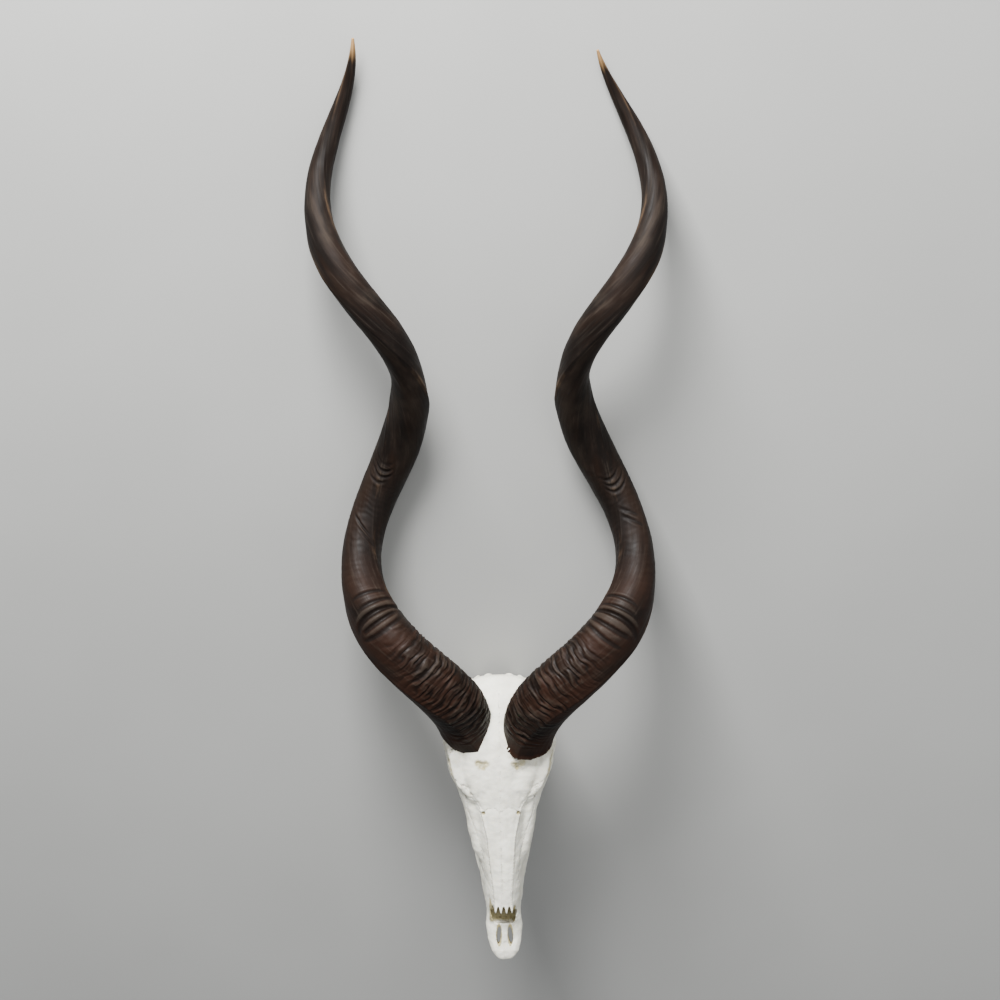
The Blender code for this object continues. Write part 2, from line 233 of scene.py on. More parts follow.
class Graph:
    """Adds nodes and links to one node tree."""

    def __init__(self, tree: bpy.types.NodeTree) -> None:
        """Holds the tree."""
        self.tree = tree

    def node(self, kind: str, settings: dict | None = None, inputs: dict | None = None) -> Any:
        """Adds a node.

        Args:
            kind: The node's type.
            settings: The node's own settings, set first; "stops" fills a colour ramp.
            inputs: What its sockets get, by name or index: a Value or a plain number or colour.

        Returns:
            The node.
        """
        made = self.tree.nodes.new(kind)
        for key, value in (settings or {}).items():
            if key == "stops":
                self.fill_ramp(made.color_ramp, value)
            else:
                setattr(made, key, value)
        for key, value in (inputs or {}).items():
            if isinstance(value, Value):
                self.tree.links.new(value.socket, made.inputs[key])
            else:
                made.inputs[key].default_value = value
        return made

    def fill_ramp(self, ramp: bpy.types.ColorRamp, stops: Sequence[tuple[float, Colour]]) -> None:
        """Gives a colour ramp its stops."""
        while len(ramp.elements) < len(stops):
            ramp.elements.new(1.0)
        for element, (position, colour) in zip(ramp.elements, stops):
            element.position = position
            element.color = (*colour, 1.0)

    def value(
        self, kind: str, settings: dict | None = None, inputs: dict | None = None, output: Any = 0
    ) -> Value:
        """Adds a node and returns one of its outputs, by name or index."""
        return Value(self, self.node(kind, settings, inputs).outputs[output])

    def math(self, operation: str, *terms: Term) -> Value:
        """Adds a Math node."""
        return self.value("ShaderNodeMath", {"operation": operation}, dict(enumerate(terms)))

    def step(self, term: Term, low: float, high: float) -> Value:
        """Climbs smoothly from 0 at low to 1 at high; high may be lower than low."""
        settings = {"interpolation_type": "SMOOTHSTEP"}
        if high < low:
            return 1.0 - self.step(term, high, low)
        return self.value("ShaderNodeMapRange", settings, {"Value": term, "From Min": low, "From Max": high})

    def stretch(self, vector: Value, factors: Point) -> Value:
        """Multiplies a vector by three factors."""
        return self.value("ShaderNodeVectorMath", {"operation": "MULTIPLY"}, {0: vector, 1: factors})

    def noise(
        self, vector: Value, scale: float, detail: float = 3.0, roughness: float = 0.55, seed: Term = 0.0
    ) -> Value:
        """Adds noise.

        Args:
            vector: Where to read it.
            scale: Lumps a metre.
            detail: Layers of finer lumps.
            roughness: How strong the finer lumps are.
            seed: The fourth coordinate.

        Returns:
            A value around 0.5.
        """
        inputs = {"Vector": vector, "W": seed, "Scale": scale, "Detail": detail, "Roughness": roughness}
        return self.value("ShaderNodeTexNoise", {"noise_dimensions": "4D"}, inputs, 0)

    def cells(self, vector: Value, scale: float) -> Value:
        """The distance from the middles of scattered cells, scale of them a metre."""
        return self.value("ShaderNodeTexVoronoi", None, {"Vector": vector, "Scale": scale}, "Distance")

    def mix(self, share: Term, first: Any, second: Any) -> Value:
        """Blends two colours, from first at a share of 0 to second at 1."""
        ends = [colour if isinstance(colour, Value) else (*colour, 1.0) for colour in (first, second)]
        return self.value("ShaderNodeMix", {"data_type": "RGBA"}, {0: share, 6: ends[0], 7: ends[1]}, 2)


class Dress(Graph):
    """The graph of a material on the Principled shader."""

    def __init__(self, name: str) -> None:
        """Starts a material that bears the name."""
        self.material = bpy.data.materials.new(name)
        self.material.use_nodes = True
        super().__init__(self.material.node_tree)
        self.tree.nodes.clear()

    def place(self) -> Value:
        """The object's own coordinates, in metres."""
        return self.value("ShaderNodeTexCoord", output="Object")

    def mark(self, name: str, output: str = "Fac") -> Value:
        """A vertex attribute."""
        return self.value("ShaderNodeAttribute", {"attribute_name": name}, output=output)

    def relief(self, height: Value, distance: float) -> Value:
        """A bumped normal; distance is the height, in metres, of a value of 1."""
        return self.value("ShaderNodeBump", None, {"Height": height, "Distance": distance, "Strength": 1.0})

    def finish(self, **sockets: Any) -> bpy.types.Material:
        """Joins the shader to the output.

        Args:
            sockets: What the Principled shader's sockets get, with _ for a space in their names.

        Returns:
            The material.
        """
        inputs = {name.replace("_", " "): value for name, value in sockets.items()}
        shader = self.value("ShaderNodeBsdfPrincipled", None, inputs)
        self.node("ShaderNodeOutputMaterial", None, {"Surface": shader})
        return self.material


# ---------------------------------------------------------------- finishes


@dataclass(frozen=True)
class BoneFinish:
    """Sun-bleached bone: chalky white, greyed in patches, olive where grease stayed, with olive painted shade
    in the orbits, nasal passage and fissures and brown painted shade in recesses.
    """

    white: Colour = (0.87, 0.85, 0.735)
    grey: Colour = (0.62, 0.605, 0.505)
    cream: Colour = (0.77, 0.71, 0.53)
    # olive is the colour of the grease stains and of the painted shade in hollows.
    olive: Colour = (0.34, 0.28, 0.105)
    # brown is the colour of the painted shade in recesses.
    brown: Colour = (0.13, 0.090, 0.030)
    seam: Colour = (0.16, 0.12, 0.075)
    seam_width: float = 0.65
    roughness: tuple[float, float] = (0.52, 0.74)
    patch: float = 38.0
    grain: float = 420.0

    def build(self) -> bpy.types.Material:
        """Makes the material."""
        d = Dress("bleached_bone")
        place = d.place()
        patches = d.noise(place, self.patch, 4.0, 0.6)
        fine = d.noise(place, self.grain, 3.0, 0.65, 2.0)
        threads = d.noise(d.mark("plan", "Vector"), 130.0, 4.0, 0.7, 4.0)
        colour = d.mix(d.step(patches, 0.38, 0.68) * 0.6, self.white, self.grey)
        colour = d.mix(d.step(threads, 0.50, 0.74) * 0.45, colour, self.cream)
        colour = d.mix(d.step(fine, 0.56, 0.78) * 0.30, colour, self.grey)
        # Olive: real grease stains at the pits and horn seats, and painted shade in the orbits, their
        # grooves, the nasal passage and the palate's fissures.
        stain = d.mark("stain")
        olive_stain_and_shade = d.step(stain + (threads - 0.5) * 0.9, 0.22, 0.80)
        colour = d.mix(olive_stain_and_shade * 0.85, colour, self.olive)
        # Painted shade: the bone turns brown where bone closes in round it, in recesses and hollows.
        depth = d.mark("recess_shade")
        colour = d.mix(d.step(depth + (patches - 0.5) * 0.3, 0.45, 0.98) * 0.86, colour, self.brown)
        zigzag = (d.noise(place, 260.0, 2.0, 0.6, 7.0) - 0.5) * 4.2
        seam = d.step(abs(d.mark("seam") + zigzag), self.seam_width, 0.12)
        colour = d.mix(seam * (0.10 + 0.75 * d.step(stain, 0.02, 0.30)), colour, self.seam)
        pores = d.step(d.cells(place, 520.0), 0.10, 0.34)
        open_pores = 1.0 - (1.0 - pores) * d.step(patches + stain * 0.5, 0.45, 0.75)
        colour = d.mix((1.0 - open_pores) * 0.35, colour, self.seam)
        height = fine * 0.5 + threads * 0.7 + open_pores * 0.55 - seam * 1.1
        low, high = self.roughness
        return d.finish(
            Base_Color=colour,
            Roughness=low + (high - low) * d.step(fine, 0.3, 0.7) - olive_stain_and_shade * 0.12,
            Normal=d.relief(height, 0.0006),
            Specular_IOR_Level=0.38,
            Subsurface_Weight=0.06,
            Subsurface_Radius=(0.006, 0.004, 0.002),
            Subsurface_Scale=1.0,
        )


@dataclass(frozen=True)
class HornFinish:
    """Keratin: near-black brown, redder near the root, streaked lengthwise, amber at the tip; grey-brown
    painted sheen on the upper horn, painted highlights on fold crests and keels, and painted shade in the
    creases.
    """

    black: Colour = (0.0042, 0.0026, 0.0019)
    brown: Colour = (0.0102, 0.0055, 0.0035)
    red: Colour = (0.0235, 0.0088, 0.0046)
    dust: Colour = (0.041, 0.032, 0.024)
    worn: Colour = (0.105, 0.066, 0.038)
    amber: Colour = (0.34, 0.20, 0.085)
    roughness: tuple[float, float] = (0.46, 0.74)

    def build(self, length: float) -> bpy.types.Material:
        """Makes the material.

        Args:
            length: The horn's length along its curve, in metres.

        Returns:
            The material.
        """
        d = Dress("kudu_horn")
        unwound = d.mark("unwound", "Vector")
        along = d.value("ShaderNodeSeparateXYZ", None, {0: unwound}, "Z")
        keel = d.value("ShaderNodeSeparateXYZ", None, {0: unwound}, "X") / HornSheath.UNWOUND_RADIUS
        streaks = d.noise(d.stretch(unwound, (1.0, 1.0, 0.06)), 260.0, 4.0, 0.62)
        broad = d.noise(d.stretch(unwound, (1.0, 1.0, 0.25)), 42.0, 4.0, 0.6, 3.0)
        cloud = d.noise(unwound, 22.0, 3.0, 0.5, 5.0)
        hairline = d.noise(d.stretch(unwound, (0.25, 0.25, 1.0)), 700.0, 2.0, 0.5, 8.0)
        colour = d.mix(d.step(broad, 0.36, 0.66), self.black, self.brown)
        near_root = d.step(along, 0.42, 0.10)
        colour = d.mix(near_root * d.step(cloud, 0.34, 0.62) * 0.75, colour, self.red)
        colour = d.mix(d.step(streaks, 0.53, 0.72) * 0.32, colour, self.dust)
        # Painted sheen: grey-brown patches over the upper horn stand in for its glossy highlights.
        upper_sheen = d.step(along, 0.30, 0.75)
        colour = d.mix(upper_sheen * d.step(cloud * 0.6 + broad * 0.4, 0.50, 0.68) * 0.34, colour, self.dust)
        # Painted highlight: the crests of folds and creases are lightened.
        crest = d.step(d.mark("crest") + (streaks - 0.5) * 0.5, 0.30, 1.1)
        colour = d.mix(crest * 0.34, colour, self.dust)
        # A light line along both keels: painted highlight, with some wear.
        edge = d.step(abs(keel), 0.982, 1.0) * d.step(broad, 0.44, 0.64) * d.step(along, 0.16, 0.24)
        colour = d.mix(edge * 0.55, colour, self.worn)
        # Painted shade: the troughs of folds and creases are darkened to black.
        crease_shade = d.step(d.mark("crest"), 0.05, -0.55)
        colour = d.mix(crease_shade * 0.80, colour, self.black)
        rim = d.mark("rim")
        colour = d.mix(d.step(rim + (cloud - 0.5) * 0.9, 0.45, 1.05) * 0.70, colour, self.red)
        colour = d.mix(d.step(rim + (streaks - 0.5) * 0.9, 0.88, 1.12) * 0.70, colour, self.worn)
        tip = d.step(along + (broad - 0.5) * 0.03, length - 0.034, length - 0.002)
        colour = d.mix(tip * 0.9, colour, self.amber)
        height = streaks * 0.8 + hairline * 0.25 * d.step(along, 0.45, 0.05) + broad * 0.4
        low, high = self.roughness
        rubbed = d.step(streaks * 0.5 + cloud * 0.5, 0.36, 0.64)
        return d.finish(
            Base_Color=colour,
            Roughness=low + (high - low) * rubbed + edge * 0.05,
            Normal=d.relief(height, 0.0004),
            Specular_IOR_Level=0.12,
        )


@dataclass(frozen=True)
class EnamelFinish:
    """Worn cheek teeth: ivory enamel over brown-stained dentine and dark tartar at the neck."""

    ivory: Colour = (0.60, 0.53, 0.39)
    stain: Colour = (0.20, 0.13, 0.06)
    tartar: Colour = (0.035, 0.024, 0.016)

    def build(self) -> bpy.types.Material:
        """Makes the material."""
        d = Dress("worn_enamel")
        place = d.place()
        blotch = d.noise(place, 160.0, 4.0, 0.6)
        streak = d.noise(d.stretch(d.mark("plan", "Vector"), (1.0, 1.0, 0.2)), 900.0, 3.0, 0.6, 1.0)
        colour = d.mix(d.step(blotch, 0.40, 0.66) * 0.7, self.ivory, self.stain)
        colour = d.mix(d.step(streak, 0.52, 0.70) * 0.4, colour, self.stain)
        colour = d.mix(d.step(d.mark("fold") + (blotch - 0.5) * 0.3, 0.25, 0.8), colour, self.tartar)
        return d.finish(
            Base_Color=colour,
            Roughness=0.24 + d.step(blotch, 0.3, 0.7) * 0.24,
            Normal=d.relief(streak + blotch, 0.0003),
            Specular_IOR_Level=0.55,
        )


@dataclass(frozen=True)
class FloorFinish:
    """A plain pale sheet."""

    pale: Colour = (0.33, 0.33, 0.318)
    shade: Colour = (0.315, 0.315, 0.303)

    def build(self) -> bpy.types.Material:
        """Makes the material."""
        d = Dress("pale_floor")
        cloud = d.noise(d.place(), 3.0, 2.0)
        return d.finish(Base_Color=d.mix(d.step(cloud, 0.3, 0.7), self.pale, self.shade), Roughness=0.85)


# ---------------------------------------------------------------- bench


@dataclass(frozen=True)
class RestPose:
    """How the animal lies: nose up about X, then a slight roll about Y, because the horns differ."""

    tilt: float = math.radians(30.26)
    roll: float = math.radians(-0.2)
    offset: Vector = field(default_factory=Vector)

    @property
    def turn(self) -> Matrix:
        """The turn alone."""
        return Euler((-self.tilt, self.roll, 0.0)).to_matrix().to_4x4()

    @property
    def matrix(self) -> Matrix:
        """From the bench, in millimetres, to the frame, in metres."""
        return Matrix.Translation(self.offset) @ self.turn @ Matrix.Scale(MM, 4)

    @classmethod
    def of_horn(cls, horn: "HornSheath") -> "RestPose":
        """Finds the offset that lays a horn's blank where its CAD node lies."""
        blank = horn.blank_points() * MM
        low = Vector((blank @ np.array(cls().turn.to_3x3()).T).min(axis=0))
        return cls(offset=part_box(horn.name)[0] - low)


class Bench:
    """Tools that shape closed meshes in millimetres."""

    @staticmethod
    def skin(shape: bmesh.types.BMesh, rings: Iterable[Iterable[Point]]) -> None:
        """Lofts a closed skin over rings that all have the same number of points."""
        loops = [[shape.verts.new(point) for point in ring] for ring in rings]
        count = len(loops[0])
        for near, far in zip(loops, loops[1:]):
            for i in range(count):
                j = (i + 1) % count
                shape.faces.new((near[i], near[j], far[j], far[i]))
        for loop in (loops[0], loops[-1]):
            middle = sum((vert.co for vert in loop), Vector()) / count
            pole = shape.verts.new(middle)
            for i in range(count):
                shape.faces.new((loop[i], loop[(i + 1) % count], pole))

    @staticmethod
    def ball(shape: bmesh.types.BMesh, centre: Point, radii: Point, turn: float = 0.0) -> None:
        """Adds an ellipsoid, turned about Z."""
        place = Matrix.Translation(centre) @ Matrix.Rotation(turn, 4, "Z")
        place = place @ Matrix.Diagonal((*radii, 1.0))
        bmesh.ops.create_uvsphere(shape, u_segments=40, v_segments=24, radius=1.0, matrix=place)

    @classmethod
    def tube(cls, shape: bmesh.types.BMesh, stations: Sequence[tuple], sides: int = 20) -> None:
        """Adds a bent, tapering rod.

        Args:
            shape: Where it goes.
            stations: Points that a smooth line runs through, each x, y, z and the radius there.
            sides: The corners of its section.
        """
        rows = np.array(stations, float)
        knots = np.linspace(0.0, 1.0, len(rows))
        fine = np.linspace(0.0, 1.0, 5 * (len(rows) - 1) + 1)
        rows = np.stack([smooth_through(knots, rows[:, i], fine) for i in range(4)], axis=1)
        points = [Vector(row[:3]) for row in rows]
        rings = []
        for i, row in enumerate(rows):
            along = points[min(i + 1, len(points) - 1)] - points[max(i - 1, 0)]
            turn = along.to_track_quat("Z", "Y").to_matrix()
            angles = [2 * math.pi * k / sides for k in range(sides)]
            spokes = [turn @ Vector((math.cos(a), math.sin(a), 0.0)) * row[3] for a in angles]
            rings.append([points[i] + spoke for spoke in spokes])
        cls.skin(shape, rings)

    @classmethod
    def both_tubes(cls, shape: bmesh.types.BMesh, *stations: tuple) -> None:
        """Adds the same rod on the left and on the right."""
        for side in Side:
            cls.tube(shape, [(side.value * x, y, z, r) for x, y, z, r in stations])

    @staticmethod
    def torus(shape: bmesh.types.BMesh, centre: Point, radii: Place, thickness: float, facing: Point) -> None:
        """Adds a ring whose hole faces along `facing`; radii are its Y and Z half sizes."""
        sides, tube_sides = 56, 18
        turn = Vector((1.0, 0.0, 0.0)).rotation_difference(Vector(facing)).to_matrix()
        grid = []
        for i in range(sides):
            around = 2 * math.pi * i / sides
            out = Vector((0.0, math.cos(around) * radii[0], math.sin(around) * radii[1]))
            loop = []
            for k in range(tube_sides):
                roll = 2 * math.pi * k / tube_sides
                spoke = out.normalized() * math.cos(roll) + Vector((math.sin(roll), 0.0, 0.0))
                loop.append(shape.verts.new(Vector(centre) + turn @ (out + spoke * thickness)))
            grid.append(loop)
        for i in range(sides):
            near, far = grid[i], grid[(i + 1) % sides]
            for k in range(tube_sides):
                j = (k + 1) % tube_sides
                shape.faces.new((near[k], near[j], far[j], far[k]))

    @staticmethod
    def to_object(name: str, shape: bmesh.types.BMesh) -> bpy.types.Object:
        """Turns a bmesh into an object whose faces point outwards, and frees it."""
        bmesh.ops.recalc_face_normals(shape, faces=shape.faces)
        mesh = bpy.data.meshes.new(name)
        shape.to_mesh(mesh)
        shape.free()
        obj = bpy.data.objects.new(name, mesh)
        bpy.context.scene.collection.objects.link(obj)
        return obj

    @staticmethod
    def bake(obj: bpy.types.Object) -> None:
        """Turns an object's modifiers into its plain mesh."""
        bpy.context.view_layer.update()
        ready = obj.evaluated_get(bpy.context.evaluated_depsgraph_get())
        mesh = bpy.data.meshes.new_from_object(ready)
        obj.modifiers.clear()
        old, obj.data = obj.data, mesh
        bpy.data.meshes.remove(old)
        mesh.name = obj.name

    @staticmethod
    def points_of(mesh: bpy.types.Mesh) -> Array:
        """A mesh's vertices as rows."""
        rows = np.empty(len(mesh.vertices) * 3, np.float32)
        mesh.vertices.foreach_get("co", rows)
        return rows.reshape(-1, 3).astype(float)

    @staticmethod
    def normals_of(mesh: bpy.types.Mesh) -> Array:
        """A mesh's vertex normals as rows."""
        rows = np.empty(len(mesh.vertices) * 3, np.float32)
        mesh.vertex_normals.foreach_get("vector", rows)
        return rows.reshape(-1, 3).astype(float)

    @staticmethod
    def move(mesh: bpy.types.Mesh, points: Array) -> None:
        """Gives a mesh's vertices new places."""
        mesh.vertices.foreach_set("co", points.astype(np.float32).ravel())
        mesh.update()

    @staticmethod
    def mark(mesh: bpy.types.Mesh, name: str, values: Array) -> None:
        """Stores one number or one vector a vertex under a name."""
        kind, key = ("FLOAT_VECTOR", "vector") if values.ndim == 2 else ("FLOAT", "value")
        attribute = mesh.attributes.new(name, kind, "POINT")
        attribute.data.foreach_set(key, values.astype(np.float32).ravel())

    @staticmethod
    def cut(obj: bpy.types.Object, cutter: bpy.types.Object) -> None:
        """Takes one object out of another and removes it."""
        taking = obj.modifiers.new("cut", "BOOLEAN")
        taking.operation = "DIFFERENCE"
        taking.solver = "EXACT"
        taking.use_self = True
        taking.object = cutter
        Bench.bake(obj)
        bpy.data.objects.remove(cutter)

    @staticmethod
    def hand_over(
        obj: bpy.types.Object, pose: RestPose, material: bpy.types.Material, slot: Slot, node: str
    ) -> None:
        """Lays a finished piece in the frame, gives it its finish and hides the CAD node that it replaces.

        Args:
            obj: The piece; its mesh is in millimetres, in the skull's frame.
            pose: How the animal lies.
            material: Its finish.
            slot: The record's slot for that finish; it is not used.
            node: The CAD node that it replaces.
        """
        obj.data.transform(pose.matrix)
        obj.data.materials.clear()
        obj.data.materials.append(material)
        obj.data.shade_smooth()
        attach(obj, BODY)
        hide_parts(node)
        obj.data.calc_loop_triangles()
        LOG.info("%s: %d triangles", obj.name, len(obj.data.loop_triangles))


# ---------------------------------------------------------------- horns


@dataclass(frozen=True)
class Crease:
    """A wrinkle across the horn, at a length along it and an angle from the strong keel.

    slant and bend tilt and curve it as it goes round; a negative depth raises it.
    """

    along: float
    around: float
    span: float
    depth: float
    width: float = 2.2
    slant: float = 0.0
    bend: float = 0.0


@dataclass(frozen=True)
class Growth:
    """Sizes of what grows all over a horn, in metres."""

    fold_spacing: float = 0.0098
    fold_height: float = 0.0027
    fold_wander: float = 0.0150
    ring_spacing: float = 0.0036
    ring_height: float = 0.0012
    streak_height: float = 0.0005
    swell_height: float = 0.0016
    seed: float = 1.0

    def sizes(self) -> dict[str, float]:
        """The tree's inputs by name."""
        return {
            "Fold Spacing": self.fold_spacing,
            "Fold Height": self.fold_height,
            "Fold Wander": self.fold_wander,
            "Ring Spacing": self.ring_spacing,
            "Ring Height": self.ring_height,
            "Streak Height": self.streak_height,
            "Swell Height": self.swell_height,
            "Seed": self.seed,
        }

    def tree(self) -> bpy.types.NodeTree:
        """Builds the Geometry Nodes tree that raises folds, rings and streaks on a blank."""
        tree = bpy.data.node_groups.new("horn_growth", "GeometryNodeTree")
        face = tree.interface
        face.new_socket("Blank", in_out="INPUT", socket_type="NodeSocketGeometry")
        for name in self.sizes():
            face.new_socket(name, in_out="INPUT", socket_type="NodeSocketFloat")
        face.new_socket("Finish", in_out="INPUT", socket_type="NodeSocketMaterial")
        face.new_socket("Horn", in_out="OUTPUT", socket_type="NodeSocketGeometry")
        g = Graph(tree)
        given = g.node("NodeGroupInput")
        size = {socket.name: Value(g, socket) for socket in given.outputs}
        named = "GeometryNodeInputNamedAttribute"
        unwound = g.value(named, {"data_type": "FLOAT_VECTOR"}, {"Name": "unwound"})
        ringed = g.value(named, {"data_type": "FLOAT"}, {"Name": "ringed"})
        seed = size["Seed"]
        along = g.value("ShaderNodeSeparateXYZ", None, {0: unwound}, "Z")
        drift = g.noise(g.stretch(unwound, (1.0, 1.0, 0.6)), 30.0, 2.0, 0.5, seed) - 0.5
        jitter = g.noise(g.stretch(unwound, (0.35, 0.35, 1.0)), 120.0, 1.0, 0.5, seed + 2.0) - 0.5
        wander = (drift * 2.0 + jitter) * size["Fold Wander"]
        share = g.math("FRACT", (along + wander) / size["Fold Spacing"])
        ridge = g.step(share, 0.0, 0.50) * g.step(share, 1.0, 0.58)
        strong = g.step(g.noise(g.stretch(unwound, (0.7, 0.7, 1.0)), 62.0, 2.0, 0.5, seed + 3.0), 0.36, 0.60)
        folds = (ridge - 0.42) * ringed * (strong * 0.80 + 0.20)
        share = g.math("FRACT", (along + wander * 0.45) / size["Ring Spacing"])
        crest = g.step(share, 0.0, 0.60) * g.step(share, 1.0, 0.70)
        patchy = g.step(g.noise(unwound, 90.0, 2.0, 0.5, seed + 4.0), 0.38, 0.62)
        rings = (crest - 0.5) * ringed * patchy
        streaks = g.noise(g.stretch(unwound, (1.0, 1.0, 0.05)), 210.0, 3.0, 0.6, seed + 5.0) - 0.5
        swell = g.noise(g.stretch(unwound, (0.6, 0.6, 1.0)), 34.0, 2.0, 0.5, seed + 9.0) - 0.5
        body = g.value(named, {"data_type": "FLOAT"}, {"Name": "body"})
        height = folds * size["Fold Height"] + rings * size["Ring Height"]
        height = height + (streaks * size["Streak Height"] + swell * size["Swell Height"]) * body
        normal = g.value("GeometryNodeInputNormal")
        offset = g.value("ShaderNodeVectorMath", {"operation": "SCALE"}, {0: normal, "Scale": height})
        moved = g.value("GeometryNodeSetPosition", None, {"Geometry": size["Blank"], "Offset": offset})
        old = g.value(named, {"data_type": "FLOAT"}, {"Name": "crest"})
        kept = g.value(
            "GeometryNodeStoreNamedAttribute",
            {"data_type": "FLOAT", "domain": "POINT"},
            {"Geometry": moved, "Name": "crest", "Value": old + folds * 1.9 + rings * 0.7},
        )
        real = g.value("GeometryNodeRealizeInstances", None, {0: kept})
        done = g.value("GeometryNodeSetMaterial", None, {"Geometry": real, "Material": size["Finish"]})
        g.node("NodeGroupOutput", None, {0: done})
        return tree

    def apply(self, obj: bpy.types.Object, tree: bpy.types.NodeTree, material: bpy.types.Material) -> None:
        """Runs the tree on a blank and keeps the result as a plain mesh.

        Args:
            obj: The blank, in metres.
            tree: The tree that tree() built.
            material: The horn's finish.
        """
        sizes = {**self.sizes(), "Finish": material}
        growth = obj.modifiers.new("growth", "NODES")
        growth.node_group = tree
        for item in tree.interface.items_tree:
            if item.in_out == "INPUT" and item.name in sizes:
                growth[item.identifier] = sizes[item.name]
        Bench.bake(obj)


@dataclass(frozen=True)
class HornSheath:
    """One horn: an open, flared spiral whose section is an oval with a strong and a weak keel.

    root is where the spiral's axis starts, flare its angle out from the skull's midplane, reach
    its length; turns and crowding say how it winds, coil and girth how wide the spiral and the
    horn are at their knots.
    """

    name: str
    side: Side
    root: Point
    flare: float
    reach: float
    first_turn: float
    turns: float
    crowding: float
    bow: float
    coil: tuple[float, ...]
    girth: tuple[float, ...]
    creases: tuple[Crease, ...] = ()
    growth: Growth = Growth()
    rim_drop: float = 18.0  # how far the rim reaches past the root towards the nose
    rim_shear: float = 0.017  # how fast the rim leans inwards below a length of RIM_LEAN

    RISE = math.radians(25.0)
    COIL_KNOTS = (0.0, 0.2, 0.45, 0.75, 1.0)
    GIRTH_KNOTS = (0.0, 0.1, 0.2, 0.3, 0.45, 0.6, 0.75, 0.85, 0.95, 1.0)
    FLATNESS = (0.93, 1.09)
    KEEL_LEAD = (math.radians(20.0), math.radians(55.0))
    KEEL_HEIGHTS = (0.13, 0.06)
    KEEL_WIDTH = 0.32
    BLANK = (44, 14)
    SIDES = 148
    SPACING = ((0.0, 200.0, 1.02), (200.0, 480.0, 1.9))
    UNWOUND_RADIUS = 0.03
    RIM_RISE = 4.0  # how much less far it reaches on the outer side
    RIM_EASE = 62.0  # the outlines up to this length follow the rim's slant
    RIM_RINGS = 14
    RIM_LEAN = 15.0
    LIP = 1.6  # how far the rim's lip stands out
    WALL = 3.0

    def spine(self, s: Array) -> tuple[Array, Array]:
        """The horn's centre line at every s from 0 to 1, and the way out of its coil there."""
        side = self.side.value
        reach_way = np.array((side * math.sin(self.flare), 0.0, 0.0))
        reach_way[1] = math.cos(self.flare) * math.cos(self.RISE)
        reach_way[2] = math.cos(self.flare) * math.sin(self.RISE)
        outward = unit(np.array((side, 0.0, 0.0)) - reach_way * reach_way[0] * side)
        upward = np.cross(outward, reach_way) * side
        turn = self.first_turn + 2 * math.pi * self.turns * s**self.crowding
        spoke = np.outer(-np.cos(turn), outward) + np.outer(np.sin(turn), upward)
        coil = smooth_through(self.COIL_KNOTS, self.coil, s)
        root = np.array((side * self.root[0], *self.root[1:]))
        bow = self.bow * 4 * s * (1 - s)
        line = root + np.outer(self.reach * s, reach_way) + spoke * coil[:, None]
        return line + np.outer(bow, outward), spoke

    def rings(self, s: Array, sides: int, swell: Any = 0.0) -> tuple[Array, Array, Array, Array]:
        """The horn's outlines.

        Args:
            s: Where, from 0 at the root to 1 at the tip.
            sides: Points in each outline, from the strong keel round.
            swell: What is added to the radius: a number, or an array of s by sides.

        Returns:
            The outlines, the centre line, the way along it, and each point's way out.
        """
        line, spoke = self.spine(s)
        nudge = 0.002
        along = unit(self.spine(s + nudge)[0] - self.spine(np.maximum(s - nudge, 0.0))[0])
        out = unit(spoke - along * np.sum(spoke * along, axis=1, keepdims=True))
        across = np.cross(along, out) * self.side.value
        girth = smooth_through(self.GIRTH_KNOTS, self.girth, s)[:, None]
        lead = (self.KEEL_LEAD[0] + (self.KEEL_LEAD[1] - self.KEEL_LEAD[0]) * s)[:, None]
        towards_tip = np.clip((s - 0.75) / 0.25, 0.0, 1.0)[:, None]
        thick = [flat + (1 - flat) * towards_tip for flat in self.FLATNESS]
        from_keel = (2 * math.pi * np.arange(sides) / sides)[None, :]
        angle = lead + from_keel
        oval = 1 / np.sqrt((np.cos(angle) / thick[0]) ** 2 + (np.sin(angle) / thick[1]) ** 2)
        to_strong = np.minimum(from_keel, 2 * math.pi - from_keel)
        to_weak = np.abs(from_keel - math.pi)
        keels = self.KEEL_HEIGHTS[0] * np.exp(-to_strong / self.KEEL_WIDTH)
        keels = keels + self.KEEL_HEIGHTS[1] * np.exp(-to_weak / self.KEEL_WIDTH)
        radius = girth * oval * (1 + keels) + swell
        ways = np.cos(angle)[..., None] * out[:, None] + np.sin(angle)[..., None] * across[:, None]
        return line[:, None] + radius[..., None] * ways, line, along, ways

    def blank_points(self) -> Array:
        """The CAD blank's corners, in millimetres."""
        count, sides = self.BLANK
        return self.rings(np.linspace(0.0, 1.0, count), sides)[0].reshape(-1, 3)

    def stations(self) -> tuple[Array, Array]:
        """Where the fine outlines go: s, and the length along the curve; close-set at the root."""
        fine = np.linspace(0.0, 1.0, 4001)
        line = self.spine(fine)[0]
        length = np.concatenate(([0.0], np.cumsum(np.linalg.norm(np.diff(line, axis=0), axis=1))))
        whole = length[-1]
        steps = [np.arange(start, end, gap) for start, end, gap in (*self.SPACING, (480.0, whole - 40, 3.6))]
        ends = whole - 40 * np.linspace(1.0, 0.0, 22) ** 1.6
        arcs = np.concatenate([*steps, ends])
        return np.interp(arcs, length, fine), arcs

    def wrinkles(self, arcs: Array, angles: Array) -> Array:
        """How far the creases push the surface, in millimetres, for every outline and side."""
        height = np.zeros((len(arcs), len(angles)))
        for crease in self.creases:
            turn = wrapped(angles - crease.around)
            middle = crease.along + crease.slant * turn + crease.bend * turn**2
            gap = (arcs[:, None] - middle[None, :]) / crease.width
            window = np.exp(-((turn / crease.span) ** 4))[None, :]
            shoulder = 0.45 * np.exp(-((np.abs(gap) - 1.9) ** 2))
            height -= crease.depth * (np.exp(-(gap**2)) - shoulder) * window
        return height

